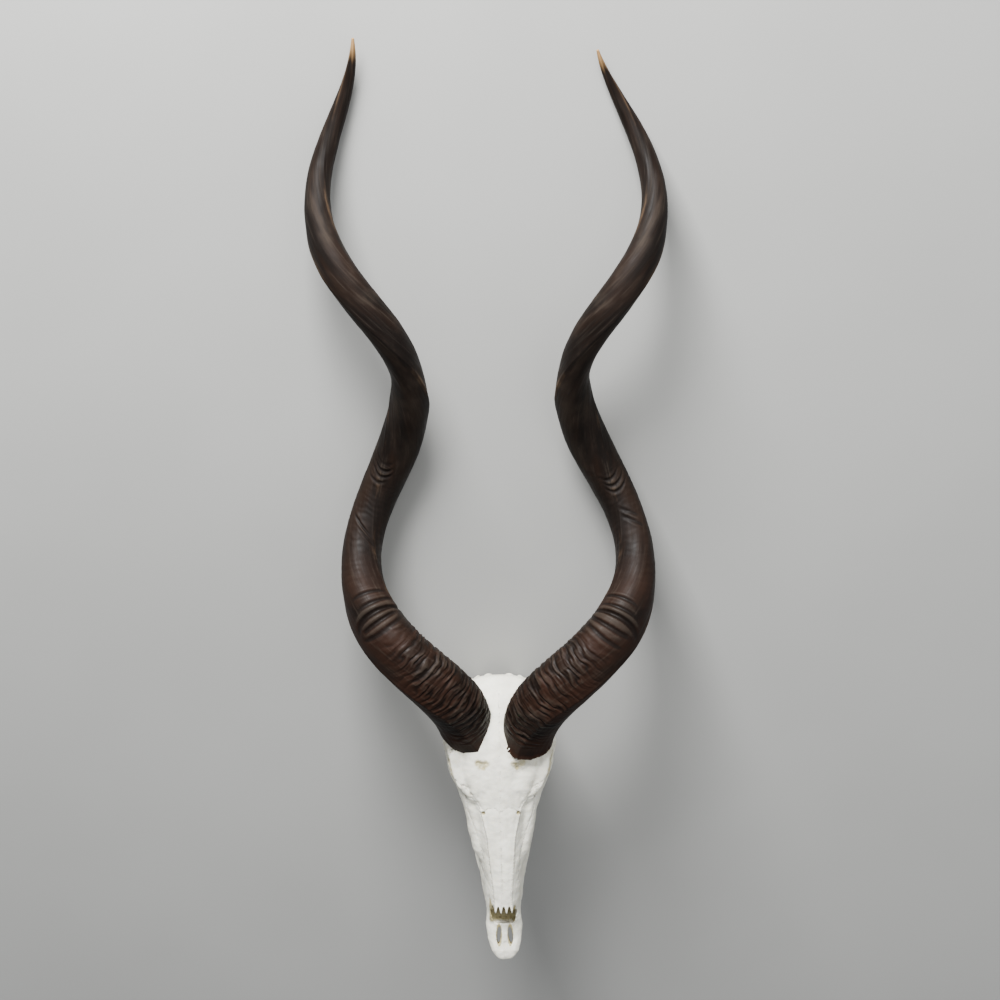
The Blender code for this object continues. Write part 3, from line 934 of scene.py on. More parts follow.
    def build(self, pose: RestPose, tree: bpy.types.NodeTree, finish: HornFinish) -> bpy.types.Object:
        """Makes the sheath and hands it over.

        Args:
            pose: How the animal lies.
            tree: The growth tree.
            finish: The horn's finish.

        Returns:
            The piece.
        """
        s, arcs = self.stations()
        angles = 2 * math.pi * np.arange(self.SIDES) / self.SIDES
        wrinkles = self.wrinkles(arcs, angles)
        points, _, along, ways = self.rings(s, self.SIDES, wrinkles)
        ringed, body = self.growth_marks(arcs, ways)
        # The rim slants: its outlines slide along the horn, each side by its own length.
        edge = -self.ragged_rim(angles, ways[0])[None, :]
        below = np.linspace(-self.rim_drop * 1.6, 0.0, self.RIM_RINGS, endpoint=False)
        arcs_of = np.concatenate([below, arcs])[:, None]
        share = np.clip((self.RIM_EASE - arcs_of) / (self.RIM_EASE - below[0]), 0.0, 1.0)
        arcs_of = arcs_of + share * (edge - below[0])
        slid = [self.slide(grid, arcs, arcs_of) for grid in (points, ways)]
        crests, ringed, body = (
            self.slide(grid[..., None], arcs, arcs_of)[..., 0] for grid in (wrinkles, ringed, body)
        )
        past = np.minimum(arcs_of, 0.0)[..., None] * along[0]
        from_edge = arcs_of - edge
        lip = self.LIP * ease(from_edge, 9.0, 2.5) * (0.55 + 0.45 * ease(from_edge, 0.0, 2.0))
        points = slid[0] + past + lip[..., None] * slid[1]
        towards_nose = ease(-slid[1][..., 1], -0.8, 0.4)
        shear = self.rim_shear * np.maximum(self.RIM_LEAN - arcs_of, 0.0) ** 2 * towards_nose
        points[..., 0] -= self.side.value * shear
        under = points[:1] + 1.5 * along[0] - self.WALL * slid[1][:1]
        points = np.concatenate([under, points])
        arcs_of = np.concatenate([arcs_of[:1], arcs_of])
        crests, ringed, body = (np.concatenate([grid[:1], grid]) for grid in (crests, ringed, body))
        at_rim = ease(arcs_of - edge, 16.0, 0.0)
        shape = bmesh.new()
        Bench.skin(shape, points.tolist())
        obj = Bench.to_object(self.name + "_grown", shape)
        poles = np.zeros(2)
        spot = np.tile(angles, len(arcs_of))
        unwound = np.stack([np.cos(spot), np.sin(spot), arcs_of.ravel() * MM / self.UNWOUND_RADIUS], axis=1)
        ends = np.array([(0.0, 0.0, edge.mean() * MM), (0.0, 0.0, arcs[-1] * MM)])
        Bench.mark(obj.data, "unwound", np.concatenate([unwound * self.UNWOUND_RADIUS, ends]))
        for name, values in (("ringed", ringed), ("body", body), ("crest", crests), ("rim", at_rim)):
            Bench.mark(obj.data, name, np.concatenate([values.ravel(), poles]))
        obj.data.transform(pose.matrix)
        material = finish.build(arcs[-1] * MM)
        self.growth.apply(obj, tree, material)
        obj.data.transform(pose.matrix.inverted())
        Bench.hand_over(obj, pose, material, Slot.HORN, self.name)
        return obj

    def growth_marks(self, arcs: Array, ways: Array) -> tuple[Array, Array]:
        """Says where rings grow and where the horn's body swells.

        Args:
            arcs: The outlines' lengths along the horn.
            ways: Each point's way out.

        Returns:
            How strongly rings grow, and how strongly the rest does, for every outline and side.
        """
        towards_middle = -self.side.value * ways[..., 0] * 0.75 + ways[..., 2] * 0.45 - ways[..., 1] * 0.2
        near = ease(arcs, 262.0, 150.0)[:, None] * ease(arcs, 4.0, 26.0)[:, None]
        ringed = near * (0.06 + 0.96 * ease(towards_middle, -0.10, 0.72))
        upper = ease(arcs, 215.0, 300.0) * ease(arcs, 610.0, 430.0)
        ringed = ringed + 0.15 * upper[:, None] * ease(ways[..., 2], -0.4, 0.5)
        body = ease(arcs, 5.0, 60.0) * (0.2 + 0.8 * ease(arcs, arcs[-1] - 10, arcs[-1] - 160))
        return ringed, np.repeat(body[:, None], self.SIDES, axis=1)

    @staticmethod
    def slide(grid: Array, arcs: Array, arcs_of: Array) -> Array:
        """Reads a grid of outlines by sides at other lengths, each side at its own.

        Args:
            grid: Values by outline, side and component.
            arcs: The grid's lengths along the horn.
            arcs_of: The lengths to read it at, by outline and side.

        Returns:
            The values there; past the first outline, the first outline's.
        """
        spots = np.interp(arcs_of, arcs, np.arange(len(arcs)))
        first = np.minimum(spots.astype(int), len(arcs) - 2)
        share = (spots - first)[..., None]
        sides = np.arange(grid.shape[1])[None, :]
        return grid[first, sides] * (1 - share) + grid[first + 1, sides] * share

    def ragged_rim(self, angles: Array, ways: Array) -> Array:
        """How far the rim goes down past the root at each angle, in millimetres."""
        circle = np.stack([np.cos(angles), np.sin(angles), np.zeros_like(angles)], axis=1)
        seed = 5.0 * self.side.value
        wave = rough(circle, 0.55, seed) * 0.10 + rough(circle, 0.15, seed + 9) * 0.16
        chips = np.maximum(rough(circle, 0.07, seed + 30), 0.0) * 0.45
        outer = ease(self.side.value * ways[:, 0] - ways[:, 1] * 0.15, -0.25, 0.95)
        return self.rim_drop * (1.0 + wave - chips) - self.RIM_RISE * outer


# ---------------------------------------------------------------- skull


@dataclass(frozen=True)
class Section:
    """A cross-section of the skull at one Y: its half width and its lowest and highest Z."""

    y: float
    half_width: float
    low: float
    high: float
    square: float = 2.4
    top: float = 1.0

    SIDES = 48

    def ring(self) -> list[Point]:
        """The outline, a superellipse that narrows or widens towards its top."""
        points = []
        middle = (self.low + self.high) / 2
        half_height = (self.high - self.low) / 2
        for i in range(self.SIDES):
            angle = 2 * math.pi * i / self.SIDES
            c, s = math.cos(angle), math.sin(angle)
            across = math.copysign(abs(c) ** (2 / self.square), c)
            up = math.copysign(abs(s) ** (2 / self.square), s)
            taper = 1 + (self.top - 1) * (up + 1) / 2
            points.append((self.half_width * across * taper, self.y, middle + half_height * up))
        return points


@dataclass(frozen=True)
class Mark:
    """A groove along a path in plan, on both sides of the skull; a negative depth is a ridge."""

    path: tuple[Place, ...]
    width: float
    depth: float
    face: Face = Face.TOP

    def paths(self) -> list[Array]:
        """The path on the left and, unless it runs down the midline, on the right."""
        left = np.array(self.path, float)
        if np.allclose(left[:, 0], 0.0):
            return [left]
        return [left, left * (-1.0, 1.0)]


@dataclass(frozen=True)
class Pit:
    """A round hole or a soft dent in plan on both sides; stain tints the bone round it olive, a real stain at
    the dents and painted shade in the deep holes.
    """

    x: float
    y: float
    radius: float
    depth: float
    face: Face = Face.TOP
    stain: float = 0.0
    stain_radius: float = 6.0


@dataclass(frozen=True)
class Tooth:
    """An upper cheek tooth of the animal's left side: its middle, length and width."""

    name: str
    x: float
    y: float
    length: float
    width: float
    lobes: int

    CROWN = 9.0
    ROOT = 9.0
    AROUND = 96
    GAP = 0.5  # between a tooth and its socket
    FLANK = ((5.0, -0.9), (1.5, -0.45), (0.0, -0.35), (-3.0, 0.0), (-6.5, -0.1))
    GRINDING_FACE = (1.0, 0.97, 0.90, 0.80, 0.70, 0.60, 0.50, 0.40, 0.30, 0.20, 0.10)

    def outline(self, side: Side, grow: float = 0.0) -> Array:
        """The outline in plan: one rounded lobe, or two with a waist, and ribs on the cheek side."""
        angle = 2 * math.pi * np.arange(self.AROUND) / self.AROUND
        c, s = np.cos(angle), np.sin(angle)
        along = np.sign(s) * np.abs(s) ** 0.7 * (self.length / 2 + grow)
        where = along / (self.length / 2)
        waist = 1.0 - (0.16 * np.exp(-((where / 0.22) ** 2)) if self.lobes == 2 else 0.0)
        across = np.sign(c) * np.abs(c) ** 0.6 * (self.width / 2 * waist + grow)
        cheek = np.clip(c, 0.0, 1.0)
        styles = (-0.92, 0.0, 0.92) if self.lobes == 2 else (-0.8, 0.1)
        for rib in styles:
            across = across + cheek * 0.75 * np.exp(-(((where - rib) / 0.10) ** 2))
        return np.stack([side.value * (self.x + across), self.y + along], axis=1)

    def folds(self, across: Array, along: Array) -> Array:
        """How much of an enamel fold's dark valley is at each spot of the grinding face, 0 to 1."""
        dark = np.zeros_like(across)
        middles = (-0.46, 0.46) if self.lobes == 2 else (0.0,)
        for middle in middles:
            reach = 0.36 if self.lobes == 2 else 0.62
            bow = across + 0.55 * ((along - middle) / reach) ** 2 - 0.12
            within = ease(np.abs(along - middle), reach, reach * 0.7)
            dark = np.maximum(dark, np.exp(-((bow / 0.13) ** 2)) * within)
        return dark

    def build(self, side: Side, pose: RestPose, material: bpy.types.Material) -> bpy.types.Object:
        """Makes the tooth, crown and root in one, and hands it over.

        Args:
            side: Which side of the jaw.
            pose: How the animal lies.
            material: The enamel's finish.

        Returns:
            The piece.
        """
        name = f"{side.word}_{self.name}"
        centre = np.array((side.value * self.x, self.y))
        rings, marks = [], []
        for z, grow in ((self.ROOT, -1.4), *self.FLANK):
            outline = self.outline(side, grow)
            rings.append(np.column_stack([outline, np.full(self.AROUND, z)]))
            marks.append(np.full(self.AROUND, 0.75 * float(ease(z, -2.6, 0.4))))
        for share in self.GRINDING_FACE:
            outline = centre + (self.outline(side, -0.35) - centre) * share
            across = (outline[:, 0] - centre[0]) * side.value / (self.width / 2)
            along = (outline[:, 1] - centre[1]) / (self.length / 2)
            fold = self.folds(across, along)
            bevel = 0.8 if share == 1.0 else 0.0
            slope = 1.1 * across
            cusp = 0.9 * np.abs(np.cos(math.pi * along)) if self.lobes == 2 else 0.6 * (1 - along**2)
            z = -self.CROWN + bevel + 1.1 - slope * 0.6 - cusp * ease(across, -0.2, 0.9) + 1.5 * fold
            rings.append(np.column_stack([outline, np.maximum(z, -self.CROWN)]))
            marks.append(fold * 0.95)
        shape = bmesh.new()
        Bench.skin(shape, np.array(rings).tolist())
        obj = Bench.to_object(name + "_worn", shape)
        Bench.mark(obj.data, "plan", Bench.points_of(obj.data) * MM)
        Bench.mark(obj.data, "fold", np.concatenate([*marks, np.array((0.0, marks[-1].mean()))]))
        Bench.hand_over(obj, pose, material, Slot.ENAMEL, name)
        obj.data.set_sharp_from_angle(angle=math.radians(55))
        return obj

    def socket_rings(self, side: Side) -> list[list[Point]]:
        """The rings of the cutter for its socket."""
        rings = []
        for z, grow in ((-self.CROWN - 12.0, self.GAP), (0.0, self.GAP), (self.ROOT + self.GAP, -0.8)):
            outline = self.outline(side, grow)
            rings.append(np.column_stack([outline, np.full(self.AROUND, z)]).tolist())
        return rings


@dataclass(frozen=True)
class Skull:
    """The skull: lumps grown together, hollowed out, then worked over with grooves, ridges and pits.

    The tables give the animal's left side where they don't say otherwise. BODY, BROW, CHEEK and
    NASAL_TIP are lofted lumps and NASAL_HOLLOW a lofted opening. NOTCHES are where the nasal
    bones' points part. NASAL_BAND is the half width of the raised nasal bones at each Y. SEAMS,
    RIDGES and PITS are worked into the surface, and UNEVENNESS lists its lumps' size, seed and
    height.
    """

    name: str
    horns: tuple[HornSheath, ...]
    teeth: tuple[Tooth, ...]
    coarse_voxel: float = 2.2
    fine_voxel: float = 1.62
    most_triangles: int = 190_000

    BODY = (
        Section(-425, 9, 12, 17),
        Section(-420, 14.5, 10.5, 20),
        Section(-411, 20.6, 9, 23),
        Section(-396, 24.8, 6, 26),
        Section(-370, 27.2, 3, 33),
        Section(-350, 28.3, 1, 50, top=0.75),
        Section(-336, 31, 0, 65, square=2.8, top=0.60),
        Section(-295, 37.5, -2, 79, square=3.2, top=0.56),
        Section(-255, 42.5, -2, 90, square=3.2, top=0.62),
        Section(-215, 50, -2, 100, square=3.0, top=0.68),
        Section(-185, 51, 0, 109, square=2.8, top=0.82),
        Section(-150, 44, 12, 121, top=1.0),
        Section(-120, 38, 20, 129, top=1.1),
        Section(-90, 40, 22, 132, top=1.0),
        Section(-60, 45, 22, 127, top=0.9),
        Section(-30, 49, 24, 119, top=0.9),
        Section(-16, 47, 34, 110, top=0.95),
        Section(-7, 40, 48, 103, top=1.0),
        Section(-1.5, 29, 62, 96),
        Section(1, 16, 70, 89),
    )
    BROW = (
        Section(-190, 38, 78, 98),
        Section(-162, 57, 88, 114),
        Section(-140, 71, 98, 120),
        Section(-122, 75.5, 101, 125),
        Section(-112, 73, 102, 127),
        Section(-102, 67, 102, 129),
        Section(-84, 57, 100, 130),
        Section(-66, 50, 98, 128),
    )
    CHEEK = (
        Section(-272, 33, 24, 66),
        Section(-256, 41, 23, 72, square=2.8),
        Section(-236, 46, 24, 78, square=2.8),
        Section(-214, 50, 26, 86, square=2.8),
        Section(-196, 52, 30, 94, square=2.8),
        Section(-172, 59, 36, 104, square=2.8),
        Section(-152, 65, 42, 108, square=2.8),
        Section(-144, 62, 48, 106, square=2.8),
    )
    NASAL_HOLLOW = (
        Section(-368, 13, 24, 44),
        Section(-360, 17, 19, 50),
        Section(-350, 19, 16, 54),
        Section(-341, 19.5, 15, 55),
        Section(-300, 19, 15, 66),
        Section(-262, 16, 20, 66),
        Section(-236, 6, 30, 50),
    )
    NASAL_TIP = (
        Section(-312, 15.5, 55.5, 68),
        Section(-332, 15.4, 56.5, 65),
        Section(-344, 14.8, 57, 63),
        Section(-349, 14.0, 57.5, 61),
    )
    NOTCHES = (2.0, 10.0, -6.0, 18.6, -14.6)
    ORBIT_GROOVE = ((73, -116), (71.5, -127), (68, -141), (63.5, -154))
    MUZZLE_SKEW = 0.017  # how much the muzzle leans to one side, as grown skulls do
    UNEVENNESS = ((17.0, 3.0, 0.85), (6.5, 11.0, 0.40), (2.8, 23.0, 0.16))
    NASAL_BAND = ((-352, 13.5), (-317, 13.0), (-298, 15.0), (-256, 19.0), (-231, 21.0), (-195, 29.0))
    SEAMS = (
        Mark(((0, -348), (0, -300), (0, -240), (0, -196)), 1.3, 0.7),
        Mark(((0, -196), (0, -150), (0, -110), (0, -60), (0, -22)), 1.4, 0.5),
        Mark(((29, -195), (21, -231), (19, -256), (15, -298), (13, -317), (13, -345)), 1.5, 0.9),
        Mark(((0, -195), (9, -188), (19, -189), (29, -199)), 1.6, 0.25),
        Mark(((64, -146), (54, -156), (48, -161), (42, -168), (33, -180), (27, -190)), 1.3, 0.6),
        Mark(((54, -158), (50, -172), (40, -176), (31, -190)), 1.3, 0.5),
        Mark(((50, -172), (47, -196), (36, -226), (27, -262), (24, -300)), 1.3, 0.45),
        Mark(((0, -366), (0, -300), (0, -240), (0, -188)), 1.3, 0.6, Face.UNDER),
        Mark(((0, -212), (10, -214), (19, -222), (24, -238)), 1.3, 0.5, Face.UNDER),
        Mark(((0, -100), (8, -102), (15, -106)), 1.6, 0.6, Face.UNDER),
    )
    RIDGES = (
        Mark(((28.5, -193), (20.5, -229), (18, -256), (14.2, -298), (12.2, -318), (12, -344)), 1.9, -1.0),
        Mark(((38, -186), (33, -206), (28, -232), (25, -262)), 5.0, 1.3),
        Mark(((55, -110), (56, -128), (53, -146), (47, -160)), 5.5, 3.0),
        Mark(((69, -106), (71, -124), (68, -142), (60, -158)), 4.6, -2.0),
        Mark(((49, -160), (43, -172), (40, -186)), 4.0, 1.3),
        Mark(((5, -186), (6, -230), (5, -300), (5, -340)), 3.0, -0.6),
        Mark(((0, -12), (0, -60), (0, -96)), 3.4, -1.1),
        Mark(((8, -8), (18, -20), (28, -36), (32, -50)), 3.4, -0.5),
        Mark(((27, -122), (26, -140), (29, -158), (31, -172)), 3.0, 1.0),
        Mark(((18, -186), (22, -200), (20, -214)), 2.4, 0.5),
        Mark(((6, -366), (7, -390), (5, -408)), 2.2, 1.0),
        Mark(((0, -424), (0, -410), (0, -398)), 1.3, 1.5),
        Mark(((17, -372), (19, -392), (14, -410)), 2.4, -0.9),
        Mark(((10, -192), (14, -222), (13, -260), (10, -300)), 3.0, 1.2, Face.UNDER),
        Mark(((5, -398), (5, -412)), 1.8, 1.0, Face.UNDER),
        Mark(((7, -70), (9, -46), (8, -24)), 4.0, -1.6, Face.UNDER),
        Mark(((0, -80), (0, -20)), 3.0, 1.0, Face.UNDER),
    )
    PITS = (
        # The nasal foramen's stain is painted shade in the hole.
        Pit(25.2, -196, 2.1, 4.0, stain=0.9, stain_radius=3.2),
        Pit(25.5, -125, 4.6, 1.8, stain=0.62, stain_radius=8.0),
        Pit(31.0, -121, 2.2, 1.7, stain=0.66, stain_radius=6.5),
        Pit(20.0, -122, 1.8, 1.5, stain=0.66, stain_radius=6.5),
        Pit(24.0, -129, 1.5, 1.7, stain=0.75, stain_radius=3.6),
        Pit(54.0, -156, 1.9, 1.6, stain=0.3, stain_radius=3.0),
        Pit(50.5, -172, 1.8, 1.4, stain=0.3, stain_radius=3.0),
        Pit(42.5, -169, 1.8, 1.4, stain=0.3, stain_radius=3.0),
        Pit(13.0, -52, 1.5, 1.3, stain=0.3, stain_radius=4.0),
        # These palate foramina are holes; their stain is painted shade.
        Pit(14.0, -220, 2.2, 4.0, Face.UNDER, 0.5, 4.0),
        Pit(16.0, -204, 1.7, 3.0, Face.UNDER, 0.5, 4.0),
        Pit(12.0, -62, 3.0, 5.0, Face.UNDER, 0.6, 5.0),
        Pit(19.0, -20, 2.5, 4.0, Face.UNDER, 0.6, 5.0),
        Pit(29.0, -76, 3.4, 6.0, Face.UNDER, 0.6, 5.0),
    )

    def lumps(self) -> bmesh.types.BMesh:
        """The overlapping solids that make up the skull."""
        shape = bmesh.new()
        for sections in (self.BODY, self.BROW, self.CHEEK):
            Bench.skin(shape, [section.ring() for section in sections])
        for horn in self.horns:
            _, line, along, _ = horn.rings(np.array((0.0, 0.01)), 8)
            root, rise = Vector(line[0]), Vector(along[0])
            foot = root - rise * 34 + Vector((-horn.side.value * 6.0, -4.0, 0.0))
            inwards = Vector((-horn.side.value, 0.0, 0.0))
            stations = [
                (*(foot + inwards * 7), 35.0),
                (*(root - rise * 12 + inwards * 5), 32.5),
                (*(root + rise * 3 + inwards * 1.5), 31.5),
            ]
            Bench.tube(shape, stations, sides=48)
        for side in Side:
            x = side.value
            Bench.torus(shape, (x * 69, -121, 80), (28, 27), 5.5, (x * 0.94, -0.28, 0.12))
            Bench.ball(shape, (x * 14.5, -12, 33), (11, 12, 14))
            Bench.ball(shape, (x * 24, -38, 20), (10, 15, 13))
            Bench.ball(shape, (x * 40, -21, 58), (10, 16, 24))
        self.add_arches(shape)
        return shape

    def add_arches(self, shape: bmesh.types.BMesh) -> None:
        """Adds the arches, bars, ridges and spikes to the lumps."""
        zygoma = ((34, -238, 36, 11), (42, -204, 38, 9.5), (53, -170, 42, 9), (69, -134, 50, 7.5))
        zygoma += ((71, -100, 55, 6.5), (64, -70, 58, 7), (50, -46, 58, 10), (38, -34, 56, 12))
        alveolar = ((21.5, -340, 9, 6), (24, -318, 7, 6.5), (26.5, -296, 5, 7.8), (31, -266, 5, 9.8))
        alveolar += ((35, -236, 6, 10.5), (37, -208, 7, 10.5), (36, -188, 13, 8))
        Bench.both_tubes(shape, *zygoma)
        Bench.both_tubes(shape, (66, -92, 112, 7), (72, -90, 88, 5.5), (70, -94, 58, 6))
        Bench.both_tubes(shape, *alveolar)
        Bench.both_tubes(shape, (34, -16, 44, 9), (32, -12, 14, 6), (30, -9, -7.5, 3.5))
        Bench.both_tubes(shape, (17, -168, 16, 5), (17, -140, 8, 3.6), (15, -122, 10, 3))
        Bench.skin(shape, [section.ring() for section in self.NASAL_TIP])

    def hollow_groups(self) -> list[bmesh.types.BMesh]:
        """The cutters for the openings, in two groups whose members don't overlap."""
        first, second = bmesh.new(), bmesh.new()
        Bench.skin(first, [section.ring() for section in self.NASAL_HOLLOW])
        Bench.ball(first, (0, -262, -4), (19, 92, 9))
        for side in Side:
            x = side.value
            Bench.ball(first, (x * 63, -121, 80), (36, 24, 23))
            Bench.ball(first, (x * 37, -283, 34), (9, 7, 4))
            Bench.ball(first, (x * 52, -30, 44), (11, 4.5, 4.5))
            Bench.ball(second, (x * 8.3, -386, 16), (3.2, 16.0, 40), turn=x * math.radians(5))
        Bench.ball(second, (0, -146, 10), (13, 42, 17))
        Bench.tube(second, [(0, 26, 33, 13), (0, -8, 41, 13), (0, -36, 50, 11)])
        return [first, second]

    def remesh(self, obj: bpy.types.Object, voxel: float, rounds: int) -> None:
        """Grows an object's lumps into one skin and softens it.

        Args:
            obj: The object.
            voxel: The size of its new faces.
            rounds: How often it is softened.
        """
        grow = obj.modifiers.new("grow_together", "REMESH")
        grow.mode = "VOXEL"
        grow.voxel_size = voxel
        soften = obj.modifiers.new("soften", "SMOOTH")
        soften.factor = 0.55
        soften.iterations = rounds
        Bench.bake(obj)

    def work_over(self, mesh: bpy.types.Mesh) -> None:
        """Moves the vertices: nasal band, grooves, ridges, pits and an uneven surface."""
        points, normals = Bench.points_of(mesh), Bench.normals_of(mesh)
        plan = points[:, :2]
        facing = {face: ease(face.value * normals[:, 2], 0.15, 0.6) for face in Face}
        height = sum(size * rough(points, grain, seed) for grain, seed, size in self.UNEVENNESS)
        edge = np.interp(points[:, 1], *zip(*self.NASAL_BAND))
        band = ease(np.abs(points[:, 0]), edge + 1.5, edge - 1.5) * ease(points[:, 1], -184.0, -204.0)
        height += 1.2 * band * facing[Face.TOP] * ease(points[:, 2], 50.0, 56.0)
        for mark in self.SEAMS + self.RIDGES:
            for path in mark.paths():
                gap = to_path(plan, path) / mark.width
                height -= mark.depth * np.exp(-(gap**2)) * facing[mark.face]
        for pit in self.PITS:
            for side in Side:
                gap = np.linalg.norm(plan - (side.value * pit.x, pit.y), axis=1) / pit.radius
                height -= pit.depth * np.exp(-(gap**4)) * facing[pit.face]
        for side in Side:
            gap = to_path(plan, np.array(self.ORBIT_GROOVE) * (side.value, 1)) / 2.3
            height -= 2.0 * np.exp(-(gap**2)) * ease(points[:, 2], 80.0, 88.0)
        height *= 0.15 + 0.85 * ease(points[:, 1], -20.0, -55.0)
        moved = points + normals * height[:, None]
        moved[:, 0] += self.MUZZLE_SKEW * np.maximum(-228.0 - points[:, 1], 0.0)
        Bench.move(mesh, moved)

    def stain_and_shade_marks(self, mesh: bpy.types.Mesh) -> None:
        """Stores what the finish reads: place, seams, stains mixed with olive painted shade, and how much
        bone closes in round each vertex, which the finish paints as shade in recesses.
        """
        points, normals = Bench.points_of(mesh), Bench.normals_of(mesh)
        plan = points[:, :2]
        Bench.mark(mesh, "plan", points * MM)
        seam, stain = np.full(len(points), 9.0), np.zeros(len(points))
        for mark in self.SEAMS:
            away = 9.0 * ease(mark.face.value * normals[:, 2], 0.2, -0.1)
            for path in mark.paths():
                seam = np.minimum(seam, to_path(plan, path) + away)
        for pit in self.PITS:
            for side in Side:
                gap = np.linalg.norm(plan - (side.value * pit.x, pit.y), axis=1)
                seen = ease(pit.face.value * normals[:, 2], -0.3, 0.3)
                spread = ease(gap, pit.stain_radius * 1.5, pit.stain_radius * 0.4)
                stain = np.maximum(stain, pit.stain * spread * seen)
        for horn in self.horns:
            _, line, along, _ = horn.rings(np.array((0.0, 0.01)), 8)
            stub = np.array([line[0] - along[0] * 22, line[0]])
            stain = np.maximum(stain, 0.32 * ease(to_path(points, stub), 42.0, 36.0))
        x, y, z = points.T
        # The nasal passage's floor and walls in olive: partly stain, partly painted shade.
        passage = ease(np.abs(x), 21.0, 17.5) * ease(y, -371.0, -360.0) * ease(y, -316.0, -332.0)
        stain = np.maximum(stain, 0.95 * passage * ease(z, 57.5, 53.0) * ease(z, 8.0, 14.0))
        for side in Side:
            # Painted shade, tinted olive, inside each orbit.
            rim = np.linalg.norm((points - (side.value * 62, -121, 80)) / (28, 26, 25), axis=1)
            stain = np.maximum(stain, 0.62 * ease(rim, 1.10, 0.96))
            # Painted shade, nearly full olive, on the walls of the palate's fissures.
            slot = np.linalg.norm((plan - (side.value * 8.3 + 2.7, -386)) / (4.4, 18.0), axis=1)
            stain = np.maximum(stain, 0.95 * ease(slot, 1.10, 0.9))
            # Painted shade, tinted olive, in the groove along each orbit's rim.
            groove = to_path(plan, np.array(self.ORBIT_GROOVE) * (side.value, 1))
            stain = np.maximum(stain, 0.62 * ease(groove, 3.4, 0.8) * ease(points[:, 2], 80.0, 88.0))
        Bench.mark(mesh, "seam", seam)
        Bench.mark(mesh, "stain", stain)
        Bench.mark(mesh, "recess_shade", self.recess_shade(mesh, points, normals))

    def recess_shade(self, mesh: bpy.types.Mesh, points: Array, normals: Array) -> Array:
        """The share of the ways out from each vertex that bone blocks within a finger's width; the finish
        paints it as shade in recesses.
        """
        reach, count = 46.0, 9
        bone = BVHTree.FromPolygons(points.tolist(), [tuple(face.vertices) for face in mesh.polygons])
        golden = math.pi * (3 - math.sqrt(5))
        spread = []
        for k in range(count):
            up = 1 - (k + 0.5) / count * 0.85
            out = math.sqrt(1 - up**2)
            spread.append((math.cos(golden * k) * out, math.sin(golden * k) * out, up))
        blocked = np.zeros(len(points))
        for i, (point, normal) in enumerate(zip(points, normals)):
            start, way = Vector(point + normal * 0.6), Vector(normal)
            turn = Vector((0.0, 0.0, 1.0)).rotation_difference(way)
            blocked[i] = sum(bone.ray_cast(start, turn @ Vector(ray), reach)[0] is not None for ray in spread)
        return blocked / count

    def build(self, pose: RestPose, finish: BoneFinish) -> bpy.types.Object:
        """Makes the skull and hands it over.

        Args:
            pose: How the animal lies.
            finish: The bone's finish.

        Returns:
            The piece.
        """
        obj = Bench.to_object(self.name + "_grown", self.lumps())
        self.remesh(obj, self.coarse_voxel, 3)
        for group in self.hollow_groups():
            Bench.cut(obj, Bench.to_object("hollows", group))
        self.remesh(obj, self.fine_voxel, 3)
        self.work_over(obj.data)
        obj.data.calc_loop_triangles()
        thin_out = obj.modifiers.new("thin_out", "DECIMATE")
        thin_out.ratio = min(1.0, self.most_triangles / len(obj.data.loop_triangles))
        Bench.bake(obj)
        sockets = bmesh.new()
        for x in self.NOTCHES:
            Bench.ball(sockets, (x, -352, 60), (3.3, 16, 14))
        for side in Side:
            for tooth in self.teeth:
                Bench.skin(sockets, tooth.socket_rings(side))
        Bench.cut(obj, Bench.to_object("sockets", sockets))
        self.stain_and_shade_marks(obj.data)
        Bench.hand_over(obj, pose, finish.build(), Slot.BONE, self.name)
        obj.data.set_sharp_from_angle(angle=math.radians(70))
        return obj


# ---------------------------------------------------------------- studio


@dataclass(frozen=True)
class Lamp:
    """A soft square light, placed in the skull's frame in millimetres and aimed at its middle."""

    name: str
    place: Point
    size: float
    power: float


